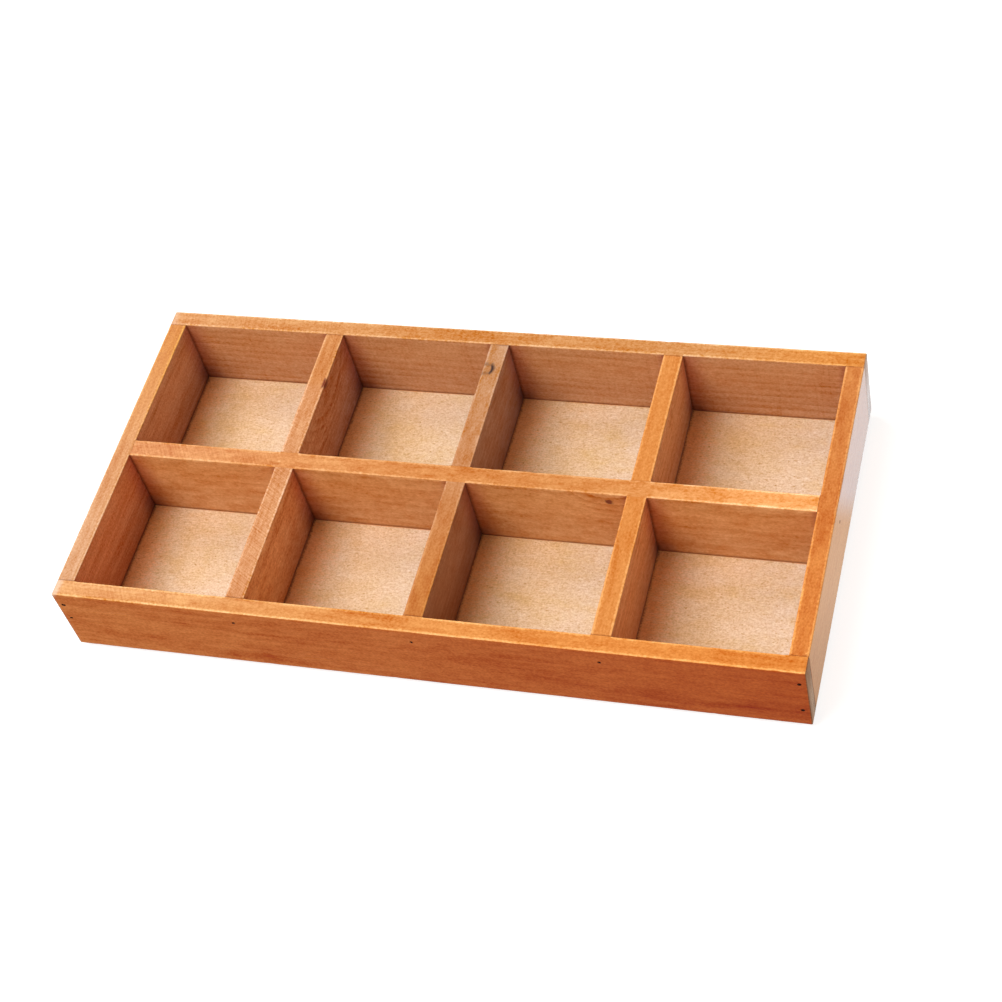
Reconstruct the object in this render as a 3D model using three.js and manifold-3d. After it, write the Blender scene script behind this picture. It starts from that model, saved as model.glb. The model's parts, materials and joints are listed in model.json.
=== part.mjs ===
// Desktop storage box: an open wooden tray with eight compartments.
// Two long walls run past two end walls, a long divider and three cross dividers halve into
// each other as an egg crate, and a plywood panel closes the underside. Collated T-head brads
// hold every joint. Millimetres, +Z up, front towards -Y, origin under the middle of the box.
import * as THREE from "three";
import { mergeVertices } from "three/addons/utils/BufferGeometryUtils.js";
import Module from "manifold-3d";

const wasm = await Module();
wasm.setup();

// Walls and dividers
const boxLength = 350; // outside, left to right
const boxWidth = 176; // outside, front to back
const wallHeight = 40;
const wallThickness = 8.5;
const dividerThickness = 9.2;
const columns = 4; // compartments from left to right, in two rows

// Underside panel
const panelThickness = 3;
const panelInset = 3; // from the walls' outer faces, so that the ply edge stays out of sight

// Fits and edges
const glueLine = 0.1; // gap in every butt joint
const lapClearance = 0.15; // gap on each side of a halving joint
const arrisRadius = 0.6; // sanded long edges
const endEasing = 0.45; // sanded ends of the long walls
const arcSteps = 3;

// Brads, from a collated strip: flat shank, T head, chisel point
const bradShankWidth = 1.25;
const bradShankThickness = 1;
const bradHeadWidth = 2;
const bradHeadHeight = 0.8;
const bradPointLength = 1.6;
const bradClearance = 0.1; // between a brad and the slot that it cut
const wallBradLength = 25;
const wallBradDepth = 0.6; // from the wall's face down to the head
const panelBradLength = 14;
const panelBradDepth = 0.25;

// Brad places: a drop is measured down from the rim, an inset in from the wall's end
const cornerBradInset = 3.4;
const frontLeftDrops = [8, 18.5];
const frontRightDrops = [8.6, 28.8];
const backCornerDrops = [8, 28.8];
const crossDividerDrop = 8;
const longDividerDrop = 12.3;

// Places that follow from the sizes above
const rimHeight = panelThickness + glueLine + wallHeight;
const wallMiddle = rimHeight - wallHeight / 2;
const innerLength = boxLength - 2 * wallThickness;
const innerWidth = boxWidth - 2 * wallThickness;
const columnPitch = (innerLength + dividerThickness) / columns;
const compartmentLength = columnPitch - dividerThickness;
const rowCentre = (innerWidth + dividerThickness) / 4;
const panelBradInset = (panelInset + wallThickness) / 2; // middle of the panel's seat on a wall

const QUARTER_TURN = Math.PI / 2;

const stainedPine = new THREE.MeshStandardMaterial({ color: 0xb96a33, roughness: 0.45, metalness: 0 });
const barePlywood = new THREE.MeshStandardMaterial({ color: 0xd9b184, roughness: 0.8, metalness: 0 });
const bradSteel = new THREE.MeshStandardMaterial({ color: 0x4a4038, roughness: 0.55, metalness: 0.9 });

// Solids: three.js geometry to and from manifold-3d, for the joints' cuts

function solidOf(geometry) {
  const bare = geometry.index ? geometry.toNonIndexed() : geometry.clone();
  bare.deleteAttribute("normal");
  bare.deleteAttribute("uv");
  const merged = mergeVertices(bare);
  return new wasm.Manifold(
    new wasm.Mesh({
      numProp: 3,
      vertProperties: merged.attributes.position.array,
      triVerts: new Uint32Array(merged.index.array),
    }),
  );
}

function geometryOf(solid) {
  const mesh = solid.getMesh();
  const geometry = new THREE.BufferGeometry();
  geometry.setAttribute("position", new THREE.BufferAttribute(mesh.vertProperties, 3));
  geometry.setIndex(new THREE.BufferAttribute(mesh.triVerts, 1));
  geometry.computeVertexNormals();
  return geometry;
}

// Cuts a placed mesh by geometries that are given in the tray's frame.
function cut(mesh, cutters) {
  mesh.updateMatrix();
  const toMesh = mesh.matrix.clone().invert();
  let solid = solidOf(mesh.geometry);
  for (const cutter of cutters) {
    solid = solid.subtract(solidOf(cutter.clone().applyMatrix4(toMesh)));
  }
  mesh.geometry = geometryOf(solid);
}

// Bars: walls and dividers are planed strips, drawn as a section and extruded to length

// The section across a bar. x runs from its outer to its inner face and y up from its middle.
// The upper arrises are always sanded; a wall's lower outer arris is sanded too.
function barSection(thickness, height, lowerOuterArris) {
  const side = thickness / 2;
  const foot = -height / 2;
  const top = height / 2;
  const r = arrisRadius;
  const section = new THREE.Shape();
  section.moveTo(side, foot);
  section.lineTo(side, top - r);
  section.absarc(side - r, top - r, r, 0, QUARTER_TURN, false);
  section.lineTo(-side + r, top);
  section.absarc(-side + r, top - r, r, QUARTER_TURN, 2 * QUARTER_TURN, false);
  if (lowerOuterArris) {
    section.lineTo(-side, foot + r);
    section.absarc(-side + r, foot + r, r, 2 * QUARTER_TURN, 3 * QUARTER_TURN, false);
  } else {
    section.lineTo(-side, foot);
  }
  section.closePath();
  return section;
}

// A bar along X about its own middle, with its outer face towards -Y.
function barGeometry(section, length, endsEased) {
  const ease = endsEased ? endEasing : 0;
  const geometry = new THREE.ExtrudeGeometry(section, {
    depth: length - 2 * ease,
    curveSegments: arcSteps,
    bevelEnabled: endsEased,
    bevelThickness: ease,
    bevelSize: ease,
    bevelOffset: -ease,
    bevelSegments: arcSteps - 1,
  });
  geometry.translate(0, 0, -length / 2 + ease);
  const alongX = new THREE.Matrix4().makeBasis(
    new THREE.Vector3(0, 1, 0),
    new THREE.Vector3(0, 0, 1),
    new THREE.Vector3(1, 0, 0),
  );
  return geometry.applyMatrix4(alongX);
}

function place(name, geometry, material, x, y, z, turn = 0) {
  const mesh = new THREE.Mesh(geometry, material);
  mesh.name = name;
  mesh.position.set(x, y, z);
  mesh.rotation.z = turn;
  return mesh;
}

// Walls: the front and back run the full length, the ends stand between them

function makeWalls() {
  const section = barSection(wallThickness, wallHeight, true);
  const longWall = barGeometry(section, boxLength, true);
  const endWall = barGeometry(section, innerWidth - 2 * glueLine, false);
  const endX = (boxLength - wallThickness) / 2;
  const sideY = (boxWidth - wallThickness) / 2;
  return [
    place("front_wall", longWall, stainedPine, 0, -sideY, wallMiddle),
    place("back_wall", longWall, stainedPine, 0, sideY, wallMiddle, 2 * QUARTER_TURN),
    place("left_end_wall", endWall, stainedPine, -endX, 0, wallMiddle, -QUARTER_TURN),
    place("right_end_wall", endWall, stainedPine, endX, 0, wallMiddle, QUARTER_TURN),
  ];
}

// Dividers: the long one is notched from below, the cross ones from above, each by half

function crossDividerX(column) {
  return -innerLength / 2 - dividerThickness / 2 + column * columnPitch;
}

function lapNotch(x, upper) {
  const across = dividerThickness + 2 * lapClearance;
  const notch = new THREE.BoxGeometry(across, across, wallHeight);
  const seat = wallMiddle + (upper ? wallHeight / 2 : -wallHeight / 2);
  const gap = upper ? -lapClearance : lapClearance;
  return notch.translate(x, 0, seat + gap);
}

function makeDividers() {
  const section = barSection(dividerThickness, wallHeight, false);
  const longBar = barGeometry(section, innerLength - 2 * glueLine, false);
  const crossBar = barGeometry(section, innerWidth - 2 * glueLine, false);
  const longDivider = place("long_divider", longBar, stainedPine, 0, 0, wallMiddle);
  const dividers = [longDivider];
  for (let column = 1; column < columns; column++) {
    const x = crossDividerX(column);
    const name = `cross_divider_${column}`;
    const crossDivider = place(name, crossBar, stainedPine, x, 0, wallMiddle, QUARTER_TURN);
    cut(crossDivider, [lapNotch(x, true)]);
    cut(longDivider, [lapNotch(x, false)]);
    dividers.push(crossDivider);
  }
  return dividers;
}

// Panel: one sheet of thin plywood under the walls and dividers

function makePanel() {
  const sheet = new THREE.BoxGeometry(
    boxLength - 2 * panelInset,
    boxWidth - 2 * panelInset,
    panelThickness,
  );
  return place("bottom_panel", sheet, barePlywood, 0, 0, panelThickness / 2);
}

// Brads

// Front view of a brad, head at y = 0 and point at y = -length. The slot that it cuts is the
// same outline grown by a clearance and led up past the head to the face of the wood.
function bradOutline(length, clearance, leadOut) {
  const head = bradHeadWidth / 2 + clearance;
  const shank = bradShankWidth / 2 + clearance;
  const shoulder = -bradHeadHeight - clearance;
  const taper = -(length - bradPointLength);
  return new THREE.Shape([
    new THREE.Vector2(head, leadOut),
    new THREE.Vector2(-head, leadOut),
    new THREE.Vector2(-head, shoulder),
    new THREE.Vector2(-shank, shoulder),
    new THREE.Vector2(-shank, taper),
    new THREE.Vector2(0, -length - clearance),
    new THREE.Vector2(shank, taper),
    new THREE.Vector2(shank, shoulder),
    new THREE.Vector2(head, shoulder),
  ]);
}

function bradGeometry(length, clearance = 0, leadOut = 0) {
  const depth = bradShankThickness + 2 * clearance;
  const outline = bradOutline(length, clearance, leadOut);
  const geometry = new THREE.ExtrudeGeometry(outline, { depth, bevelEnabled: false });
  return geometry.translate(0, 0, -depth / 2);
}

// How a brad is turned so that it drives into the box from each side.
const driveFrom = {
  front: new THREE.Euler(0, 0, 2 * QUARTER_TURN),
  back: new THREE.Euler(0, 0, 0),
  left: new THREE.Euler(0, 0, QUARTER_TURN),
  right: new THREE.Euler(0, 0, -QUARTER_TURN),
  below: new THREE.Euler(-QUARTER_TURN, 0, 0),
  belowAcross: new THREE.Euler(-QUARTER_TURN, QUARTER_TURN, 0, "ZXY"),
};

// A brad names the two pieces that it joins, the place of its head and how it is driven.
function wallBrad(name, joins, from, x, y, drop) {
  return { name, joins, from, at: new THREE.Vector3(x, y, rimHeight - drop), length: wallBradLength };
}

function listWallBrads() {
  const headX = boxLength / 2 - wallBradDepth;
  const headY = boxWidth / 2 - wallBradDepth;
  const cornerX = boxLength / 2 - cornerBradInset;
  const corners = [
    { wall: "front", end: "left", drops: frontLeftDrops },
    { wall: "front", end: "right", drops: frontRightDrops },
    { wall: "back", end: "left", drops: backCornerDrops },
    { wall: "back", end: "right", drops: backCornerDrops },
  ];
  const brads = [];
  for (const { wall, end, drops } of corners) {
    const x = end === "left" ? -cornerX : cornerX;
    const y = wall === "front" ? -headY : headY;
    drops.forEach((drop, i) => {
      const name = `${wall}_${end}_corner_brad_${i + 1}`;
      brads.push(wallBrad(name, [`${wall}_wall`, `${end}_end_wall`], wall, x, y, drop));
    });
  }
  for (const [wall, y] of [["front", -headY], ["back", headY]]) {
    for (let column = 1; column < columns; column++) {
      const joins = [`${wall}_wall`, `cross_divider_${column}`];
      const name = `${wall}_divider_brad_${column}`;
      brads.push(wallBrad(name, joins, wall, crossDividerX(column), y, crossDividerDrop));
    }
  }
  for (const [end, x] of [["left", -headX], ["right", headX]]) {
    const joins = [`${end}_end_wall`, "long_divider"];
    brads.push(wallBrad(`${end}_divider_brad`, joins, end, x, 0, longDividerDrop));
  }
  return brads;
}

function panelBrad(name, wall, from, x, y) {
  const at = new THREE.Vector3(x, y, panelBradDepth);
  return { name, joins: ["bottom_panel", wall], from, at, length: panelBradLength };
}

function listPanelBrads() {
  const seatX = boxLength / 2 - panelBradInset;
  const seatY = boxWidth / 2 - panelBradInset;
  const brads = [];
  for (const [side, y] of [["front", -seatY], ["back", seatY]]) {
    for (let column = 1; column <= columns; column++) {
      const x = crossDividerX(column) - dividerThickness / 2 - compartmentLength / 2;
      brads.push(panelBrad(`panel_${side}_brad_${column}`, `${side}_wall`, "below", x, y));
    }
  }
  for (const [end, x] of [["left", -seatX], ["right", seatX]]) {
    [-rowCentre, rowCentre].forEach((y, i) => {
      brads.push(panelBrad(`panel_${end}_brad_${i + 1}`, `${end}_end_wall`, "belowAcross", x, y));
    });
  }
  return brads;
}

// Drives a brad: cuts its slot in the two pieces that it joins and returns it in place.
function driveBrad({ name, joins, from, at, length }, pieces) {
  const brad = new THREE.Mesh(bradGeometry(length), bradSteel);
  brad.name = name;
  brad.position.copy(at);
  brad.rotation.copy(driveFrom[from]);
  brad.updateMatrix();
  const leadOut = wallBradDepth + panelBradDepth + bradClearance;
  const slot = bradGeometry(length, bradClearance, leadOut).applyMatrix4(brad.matrix);
  for (const piece of joins) {
    cut(pieces.get(piece), [slot]);
  }
  return brad;
}

// Assembly

const timber = [...makeWalls(), ...makeDividers(), makePanel()];
const pieces = new Map(timber.map((mesh) => [mesh.name, mesh]));
const brads = [...listWallBrads(), ...listPanelBrads()].map((brad) => driveBrad(brad, pieces));

const storageBox = new THREE.Group();
storageBox.add(...timber, ...brads);

export default storageBox;
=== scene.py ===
# %% [markdown]
# # A wooden desktop storage box
# The box is a low tray of stained pine slats with a raw plywood bottom, nailed together with brads.
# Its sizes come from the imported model, which is loaded first and never moved: every slat, brad and
# panel below is drawn into the place that the model gives for it.

# %% Load the frame
import json
import math
import random

import bpy
from mathutils import Matrix, Quaternion, Vector, noise

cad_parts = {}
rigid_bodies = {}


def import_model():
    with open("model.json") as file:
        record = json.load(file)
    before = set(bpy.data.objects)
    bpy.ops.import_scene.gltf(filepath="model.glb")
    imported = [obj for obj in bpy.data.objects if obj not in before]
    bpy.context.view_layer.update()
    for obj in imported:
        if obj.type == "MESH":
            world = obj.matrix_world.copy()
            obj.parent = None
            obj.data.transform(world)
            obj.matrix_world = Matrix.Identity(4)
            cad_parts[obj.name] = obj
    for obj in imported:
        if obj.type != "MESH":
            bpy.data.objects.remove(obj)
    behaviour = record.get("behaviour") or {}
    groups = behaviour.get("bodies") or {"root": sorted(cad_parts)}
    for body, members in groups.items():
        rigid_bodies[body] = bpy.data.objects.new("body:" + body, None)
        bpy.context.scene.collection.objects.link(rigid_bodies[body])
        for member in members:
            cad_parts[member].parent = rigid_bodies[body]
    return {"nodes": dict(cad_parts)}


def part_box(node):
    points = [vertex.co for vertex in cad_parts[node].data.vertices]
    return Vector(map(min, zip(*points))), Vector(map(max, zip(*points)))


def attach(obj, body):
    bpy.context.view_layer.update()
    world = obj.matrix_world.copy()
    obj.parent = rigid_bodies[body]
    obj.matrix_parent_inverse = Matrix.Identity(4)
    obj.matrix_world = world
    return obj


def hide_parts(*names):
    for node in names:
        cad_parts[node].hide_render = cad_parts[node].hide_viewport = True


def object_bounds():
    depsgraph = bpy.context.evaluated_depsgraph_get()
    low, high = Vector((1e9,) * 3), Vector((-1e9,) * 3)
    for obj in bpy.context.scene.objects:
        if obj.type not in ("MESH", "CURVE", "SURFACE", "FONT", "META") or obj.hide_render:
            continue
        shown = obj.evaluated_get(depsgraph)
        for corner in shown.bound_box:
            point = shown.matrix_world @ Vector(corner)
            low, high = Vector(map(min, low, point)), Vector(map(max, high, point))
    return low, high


for leftover in list(bpy.data.objects):
    bpy.data.objects.remove(leftover)
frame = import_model()
cad_low, cad_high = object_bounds()
MM = 0.001
RIM = cad_high.z
print("box from the frame, mm:", [round(side / MM, 1) for side in cad_high - cad_low])

# %% [markdown]
# ## Camera
# The photograph looks down on the box from its front right, through a short telephoto lens, and the
# picture is rolled. Eye, aim, roll and lens were fitted to the straight edges of the box. They come
# first, because every finish is judged in this view.

# %% Camera
CAMERA_EYE = Vector((0.30459, -0.54651, 0.77838))
CAMERA_AIM = Vector((0.02409, -0.01323, 0.0431))
CAMERA_ROLL = math.radians(-17.28)
CAMERA_LENS = 75.34

camera = bpy.data.objects.new("camera", bpy.data.cameras.new("camera"))
camera.data.lens = CAMERA_LENS
camera.location = CAMERA_EYE
camera.rotation_mode = "QUATERNION"
level_turn = (CAMERA_AIM - CAMERA_EYE).to_track_quat("-Z", "Y")
camera.rotation_quaternion = level_turn @ Quaternion((0, 0, 1), CAMERA_ROLL)
bpy.context.scene.collection.objects.link(camera)
bpy.context.scene.camera = camera
bpy.context.view_layer.update()
print("camera right", [round(x, 4) for x in camera.matrix_world.col[0][:3]])

# %% [markdown]
# ## Slats
# Each wall and divider is a planed strip whose long edges, the arrises, a sanding block has broken.
# A bevel modifier would break them evenly, and even edges look moulded. So a slat is lofted: a
# section with rounded corners is drawn every few millimetres, and the radius of each corner wanders
# from section to section, with a nick here and there. An arris stays square where another slat
# stands against it, and the one at the top of the right end is rounder than the rest.

# %% Sections of a slat
ARRIS = 0.42 * MM
ROUND_ARRIS = 0.75 * MM
SQUARE_ARRIS = 0.06 * MM
ARC_STEPS = 4
GUARD = 1.6 * MM
GUARD_PER_HEIGHT = 0.4
GUARD_PER_RADIUS = 1.3
STATION = 2.5 * MM
EASE_STEP = 0.3
SHARP_ANGLE = math.radians(38)
WANDERS = ((30 * MM, 0, 0.45), (5 * MM, 7, 0.3))
NICKS_PER_METRE = 14
NICK_DEPTH = 0.35 * MM
NICK_HALF_LENGTH = 1.3 * MM


def corner_points(corner, inward_v, inward_w, radius, guard):
    """The points that round one corner of a section, in order round the slat, with a guard point
    on each flat so that smooth shading stays near the edge."""
    v, w = corner
    guards = [(v, w + inward_w * guard), (v + inward_v * guard, w)]
    arc = []
    for step in range(ARC_STEPS + 1):
        turn = math.pi / 2 * step / ARC_STEPS
        arc.append((
            v + inward_v * radius * (1 - math.cos(turn)),
            w + inward_w * radius * (1 - math.sin(turn)),
        ))
    run = [guards[0], *arc, guards[1]]
    return run if inward_v == -inward_w else run[::-1]


def wandering_radius(place, mean, seed, nicks):
    """The radius of an arris at a place along it. A slow and a quick noise, each with a length, a
    layer and a strength, make it wander, and nicks deepen it."""
    share = 1
    for length, layer, strength in WANDERS:
        share += strength * noise.noise(Vector((place / length, seed, layer)))
    radius = mean * share
    for nick in nicks:
        radius += NICK_DEPTH * math.exp(-(((place - nick) / NICK_HALF_LENGTH) ** 2))
    return max(radius, SQUARE_ARRIS)


def slat_mesh(name, low, high, along, sanded, end_ease, seed, joints=()):
    """A closed strip that fills a box. along is 0 or 1 for X or Y. sanded gives the corners of its
    section that were sanded, as (side, level) with 0 for the low and 1 for the high one, and their
    radius. end_ease is how far its ends are eased. joints lists the stretches of a corner, as
    (corner, start, stop), where another slat kept the sandpaper off."""
    across = 1 - along
    length = high[along] - low[along]
    draw = random.Random(seed)
    guard = min(GUARD, GUARD_PER_HEIGHT * (high.z - low.z))
    corners = [(0, 0), (0, 1), (1, 1), (1, 0)]
    nick_count = int(length * NICKS_PER_METRE)
    nicks = {c: [draw.uniform(0, length) for _ in range(nick_count)] for c in corners}
    steps = max(2, round((length - 2 * end_ease) / STATION))
    spots = {end_ease + (length - 2 * end_ease) * i / steps for i in range(steps + 1)}
    for _, start, stop in joints:
        spots.update(spot for spot in (start, stop) if end_ease < spot < length - end_ease)
    stations = [(spot, 0) for spot in sorted(spots)]
    if end_ease:
        step = end_ease * EASE_STEP
        stations = [(0, end_ease), (step, step), *stations]
        stations += [(length - step, step), (length, end_ease)]
    points = []
    for place, inset in stations:
        for side, level in corners:
            v = (low[across] + inset, high[across] - inset)[side]
            w = (low.z + inset, high.z - inset)[level]
            corner = (side, level)
            joined = any(corner == c and start <= place <= stop for c, start, stop in joints)
            radius = SQUARE_ARRIS
            if corner in sanded and not joined:
                corner_seed = seed + 3 * side + level
                radius = wandering_radius(place, sanded[corner], corner_seed, nicks[corner])
            near = max(guard, GUARD_PER_RADIUS * radius)
            for pv, pw in corner_points((v, w), 1 - 2 * side, 1 - 2 * level, radius, near):
                point = Vector((0, 0, pw))
                point[along] = low[along] + place
                point[across] = pv
                points.append(point)
    ring = len(points) // len(stations)
    faces = []
    for i in range(len(stations) - 1):
        for j in range(ring):
            k = (j + 1) % ring
            faces.append((i * ring + j, i * ring + k, (i + 1) * ring + k, (i + 1) * ring + j))
    last = (len(stations) - 1) * ring
    faces.append(tuple(range(ring))[::-1])
    faces.append(tuple(range(last, last + ring)))
    if along == 0:
        faces = [face[::-1] for face in faces]
    mesh = bpy.data.meshes.new(name)
    mesh.from_pydata(points, [], faces)
    mesh.shade_smooth()
    mesh.set_sharp_from_angle(angle=SHARP_ANGLE)
    return mesh


# %% [markdown]
# The walls are sanded along the rim and along the lower outer edge, the dividers along the rim
# alone: their feet stand square on the plywood. The two long walls show their end grain at the
# corners, so their ends are eased too.

# %% Make the slats
END_EASE = 0.4 * MM
FIRST_SEED = 40
SEED_STRIDE = 11
OUTER_SIDE = {"front_wall": 0, "back_wall": 1, "left_end_wall": 0, "right_end_wall": 1}
ALONG_X = ("front_wall", "back_wall", "long_divider")
SLATS = [*OUTER_SIDE, "long_divider", "cross_divider_1", "cross_divider_2", "cross_divider_3"]


def show(mesh):
    """A mesh as an object of the same name, at the origin."""
    piece = bpy.data.objects.new(mesh.name, mesh)
    bpy.context.scene.collection.objects.link(piece)
    return piece


def rim_joints(node, along):
    """The stretches of a slat's upper corners that other slats stand against."""
    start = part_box(node)[0][along]
    corners = [(0, 1), (1, 1)]
    if node in OUTER_SIDE:
        corners.remove((OUTER_SIDE[node], 1))
    crossing = ["long_divider"]
    if node in ALONG_X:
        crossing = [other for other in SLATS if other not in ALONG_X]
    joints = []
    for other in crossing:
        low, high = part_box(other)
        joints += [(corner, low[along] - start, high[along] - start) for corner in corners]
    return joints


slats = {}
for number, node in enumerate(SLATS):
    sanded = {(0, 1): ARRIS, (1, 1): ARRIS}
    if node in OUTER_SIDE:
        sanded[(OUTER_SIDE[node], 0)] = ARRIS
    if node == "right_end_wall":
        sanded[(1, 1)] = ROUND_ARRIS
    along = int(node not in ALONG_X)
    ease = END_EASE if node in ("front_wall", "back_wall") else 0
    low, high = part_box(node)
    seed = FIRST_SEED + SEED_STRIDE * number
    joints = rim_joints(node, along)
    mesh = slat_mesh(node + "_slat", low, high, along, sanded, ease, seed, joints)
    slats[node] = show(mesh)

# %% [markdown]
# ## Bottom panel
# The plywood is a plain sheet, nailed on from below a little inside the walls' outer faces. It is
# lofted like a slat, with edges that the saw left almost square.

# %% Make the panel
SAWN_EASE = 0.15 * MM
PANEL_SEED = 5

low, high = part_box("bottom_panel")
panel = show(slat_mesh("plywood_sheet", low, high, 0, {}, SAWN_EASE, PANEL_SEED))
print("plywood", len(panel.data.polygons), "faces")

# %% [markdown]
# ## Where the brads go
# A brad is a flat nail with a T head, shot in from a collated strip. The frame has one node for
# each, and its box tells all: the longest side is the way it was driven, the next is the width of
# its head, and the end that is nearer the outside of the tray is the head.

# %% Read the brads' places
BRADS = sorted(node for node in frame["nodes"] if "brad" in node)
TRAY_CENTRE = (cad_low + cad_high) / 2


def brad_place(node):
    """Where a brad's head is, the unit vectors of its drive and of its head's width, and its size
    as thickness, head width and length."""
    low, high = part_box(node)
    size = high - low
    thin, wide, long = sorted(range(3), key=lambda axis: size[axis])
    centre = (low + high) / 2
    drive = Vector((0, 0, 0))
    drive[long] = 1 if centre[long] < TRAY_CENTRE[long] else -1
    across = Vector((0, 0, 0))
    across[wide] = 1
    return centre - drive * size[long] / 2, drive, across, (size[thin], size[wide], size[long])


places = {node: brad_place(node) for node in BRADS}
lengths = {round(size[2] / MM, 2) for _, _, _, size in places.values()}
print(len(places), "brads, lengths", sorted(lengths))

# %% [markdown]
# ## Node helper and colours
# One small function adds a node to a tree with its settings and links. Colours are written as they
# look on a screen, as hex values, and turned to the linear light that the shaders work in.


# %% Helpers for node trees
def put(tree, kind, links=(), **settings):
    """Adds a node with its settings. links gives its inputs a value or an output of another node,
    as a dict by their names or numbers or as a tuple in their order. Its first output comes back."""
    node = tree.nodes.new(kind)
    for key, value in settings.items():
        setattr(node, key, value)
    inputs = [socket for socket in node.inputs if socket.enabled]
    if isinstance(links, tuple):
        links = dict(enumerate(links))
    for key, value in links.items():
        socket = inputs[key] if isinstance(key, int) else next(s for s in inputs if s.name == key)
        if isinstance(value, bpy.types.NodeSocket):
            tree.links.new(value, socket)
        else:
            socket.default_value = value
    return next((socket for socket in node.outputs if socket.enabled), node)


# The links that make a Map Range node fall from 1 to 0
FALLING = {"To Min": 1, "To Max": 0}


def linear(hex_colour):
    """An sRGB hex colour as linear RGBA."""
    channels = [int(hex_colour[i:i + 2], 16) / 255 for i in (1, 3, 5)]
    return (*[c / 12.92 if c <= 0.04045 else ((c + 0.055) / 1.055) ** 2.4 for c in channels], 1)


def new_material(name):
    """A new material, its node tree and its Principled shader."""
    material = bpy.data.materials.new(name)
    material.use_nodes = True
    return material, material.node_tree, material.node_tree.nodes["Principled BSDF"]


# %% [markdown]
# ## Holes and joints
# Each brad leaves a slot in the two pieces that it passes through, with its head sunk below the
# face. The fibres close again over the ends of the head, so the ragged mouth in the face is narrower
# than the head below it. The dividers halve into each other. All of it is cut with booleans, because
# a hole drawn in the material alone would be flat in a close view. The cutters are drawn first.

# %% Draw the cutters
SHANK_WIDTH = 1.25 * MM
HEAD_HEIGHT = 0.8 * MM
POINT_LENGTH = 1.6 * MM
SLOT_CLEARANCE = 0.1 * MM
MOUTH_LEAD = 1 * MM
MOUTH_STEPS = 12
MOUTH_HALF = (0.95 * MM, 0.82 * MM)
MOUTH_SIZES = (0.85, 1.2)
MOUTH_RAGGED = (0.8, 1.1)
LAP_CLEARANCE = 0.05 * MM


def add_prism(solids, outline, thickness, to_world):
    """Adds an outline, drawn in x and y and extruded along z, to a list of points and faces."""
    points, faces = solids
    first = len(points)
    count = len(outline)
    for z in (-thickness / 2, thickness / 2):
        points += [to_world @ Vector((x, y, z)) for x, y in outline]
    faces.append([first + i for i in range(count)][::-1])
    faces.append([first + count + i for i in range(count)])
    for i in range(count):
        j = (i + 1) % count
        faces.append([first + i, first + j, first + count + j, first + count + i])


def add_brad_slot(solids, node):
    """Adds the slot that a brad cut: its T outline with a clearance."""
    head, drive, across, (thickness, head_width, length) = places[node]
    wide = head_width / 2 + SLOT_CLEARANCE
    slim = SHANK_WIDTH / 2 + SLOT_CLEARANCE
    shoulder = HEAD_HEIGHT + SLOT_CLEARANCE
    taper = length - POINT_LENGTH
    half = [(wide, -SLOT_CLEARANCE), (wide, shoulder), (slim, shoulder), (slim, taper)]
    outline = half + [(0, length + SLOT_CLEARANCE)] + [(-x, y) for x, y in half[::-1]]
    turn = Matrix((across, drive, across.cross(drive))).transposed().to_4x4()
    add_prism(solids, outline, thickness + 2 * SLOT_CLEARANCE, Matrix.Translation(head) @ turn)


def add_brad_mouth(solids, node, draw):
    """Adds the ragged mouth in the face. The fibres have closed again over the head's ends, so it
    is narrower than the head."""
    head, drive, across, _ = places[node]
    wide, high = MOUTH_HALF
    size = draw.uniform(*MOUTH_SIZES)
    outline = []
    for step in range(MOUTH_STEPS):
        turn = 2 * math.pi * step / MOUTH_STEPS
        ragged = size * draw.uniform(*MOUTH_RAGGED)
        outline.append((wide * ragged * math.cos(turn), high * ragged * math.sin(turn)))
    turn = Matrix((across, drive.cross(across), drive)).transposed().to_4x4()
    middle = head - drive * MOUTH_LEAD / 2
    add_prism(solids, outline, MOUTH_LEAD, Matrix.Translation(middle) @ turn)


def add_lap(solids, divider, upper):
    """Adds the half of a crossing that a divider gives up, above or below the middle."""
    cross_low, cross_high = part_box(divider)
    long_low, long_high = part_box("long_divider")
    middle = (cross_low.z + cross_high.z) / 2
    x0, x1 = cross_low.x - LAP_CLEARANCE, cross_high.x + LAP_CLEARANCE
    y0, y1 = long_low.y - LAP_CLEARANCE, long_high.y + LAP_CLEARANCE
    outline = [(x0, y0), (x1, y0), (x1, y1), (x0, y1)]
    depth = RIM
    seat = middle - LAP_CLEARANCE + depth / 2 if upper else middle + LAP_CLEARANCE - depth / 2
    add_prism(solids, outline, depth, Matrix.Translation((0, 0, seat)))


def boxes_meet(a, b):
    """Whether the boxes of two nodes overlap."""
    (a_low, a_high), (b_low, b_high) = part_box(a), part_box(b)
    return all(a_low[i] < b_high[i] and b_low[i] < a_high[i] for i in range(3))


# %% Stain and painted shade in the holes
# Stain runs into every hole and cut and dries there dark, and the faces there are also painted almost
# black as painted shade, without any gloss.
HOLE_GRAIN = 0.8 * MM
HOLE_STAIN_AND_SHADE_TONES = ("#2a120a", "#5c2a17")

hole_stain_and_shade, tree, shader = new_material("stain and painted shade in a hole")
spot = put(tree, "ShaderNodeTexCoord").node.outputs["Object"]
hole_mottle = put(tree, "ShaderNodeTexNoise", {"Vector": spot, "Scale": 1 / HOLE_GRAIN, "Detail": 2})
links = {"Factor": hole_mottle, "A": linear(HOLE_STAIN_AND_SHADE_TONES[0]), "B": linear(HOLE_STAIN_AND_SHADE_TONES[1])}
tree.links.new(put(tree, "ShaderNodeMix", links, data_type="RGBA"), shader.inputs["Base Color"])
shader.inputs["Roughness"].default_value = 0.9
print("material:", hole_stain_and_shade.name)

# %% Cut the pieces
CROSS_DIVIDERS = [node for node in SLATS if node.startswith("cross")]


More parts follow.
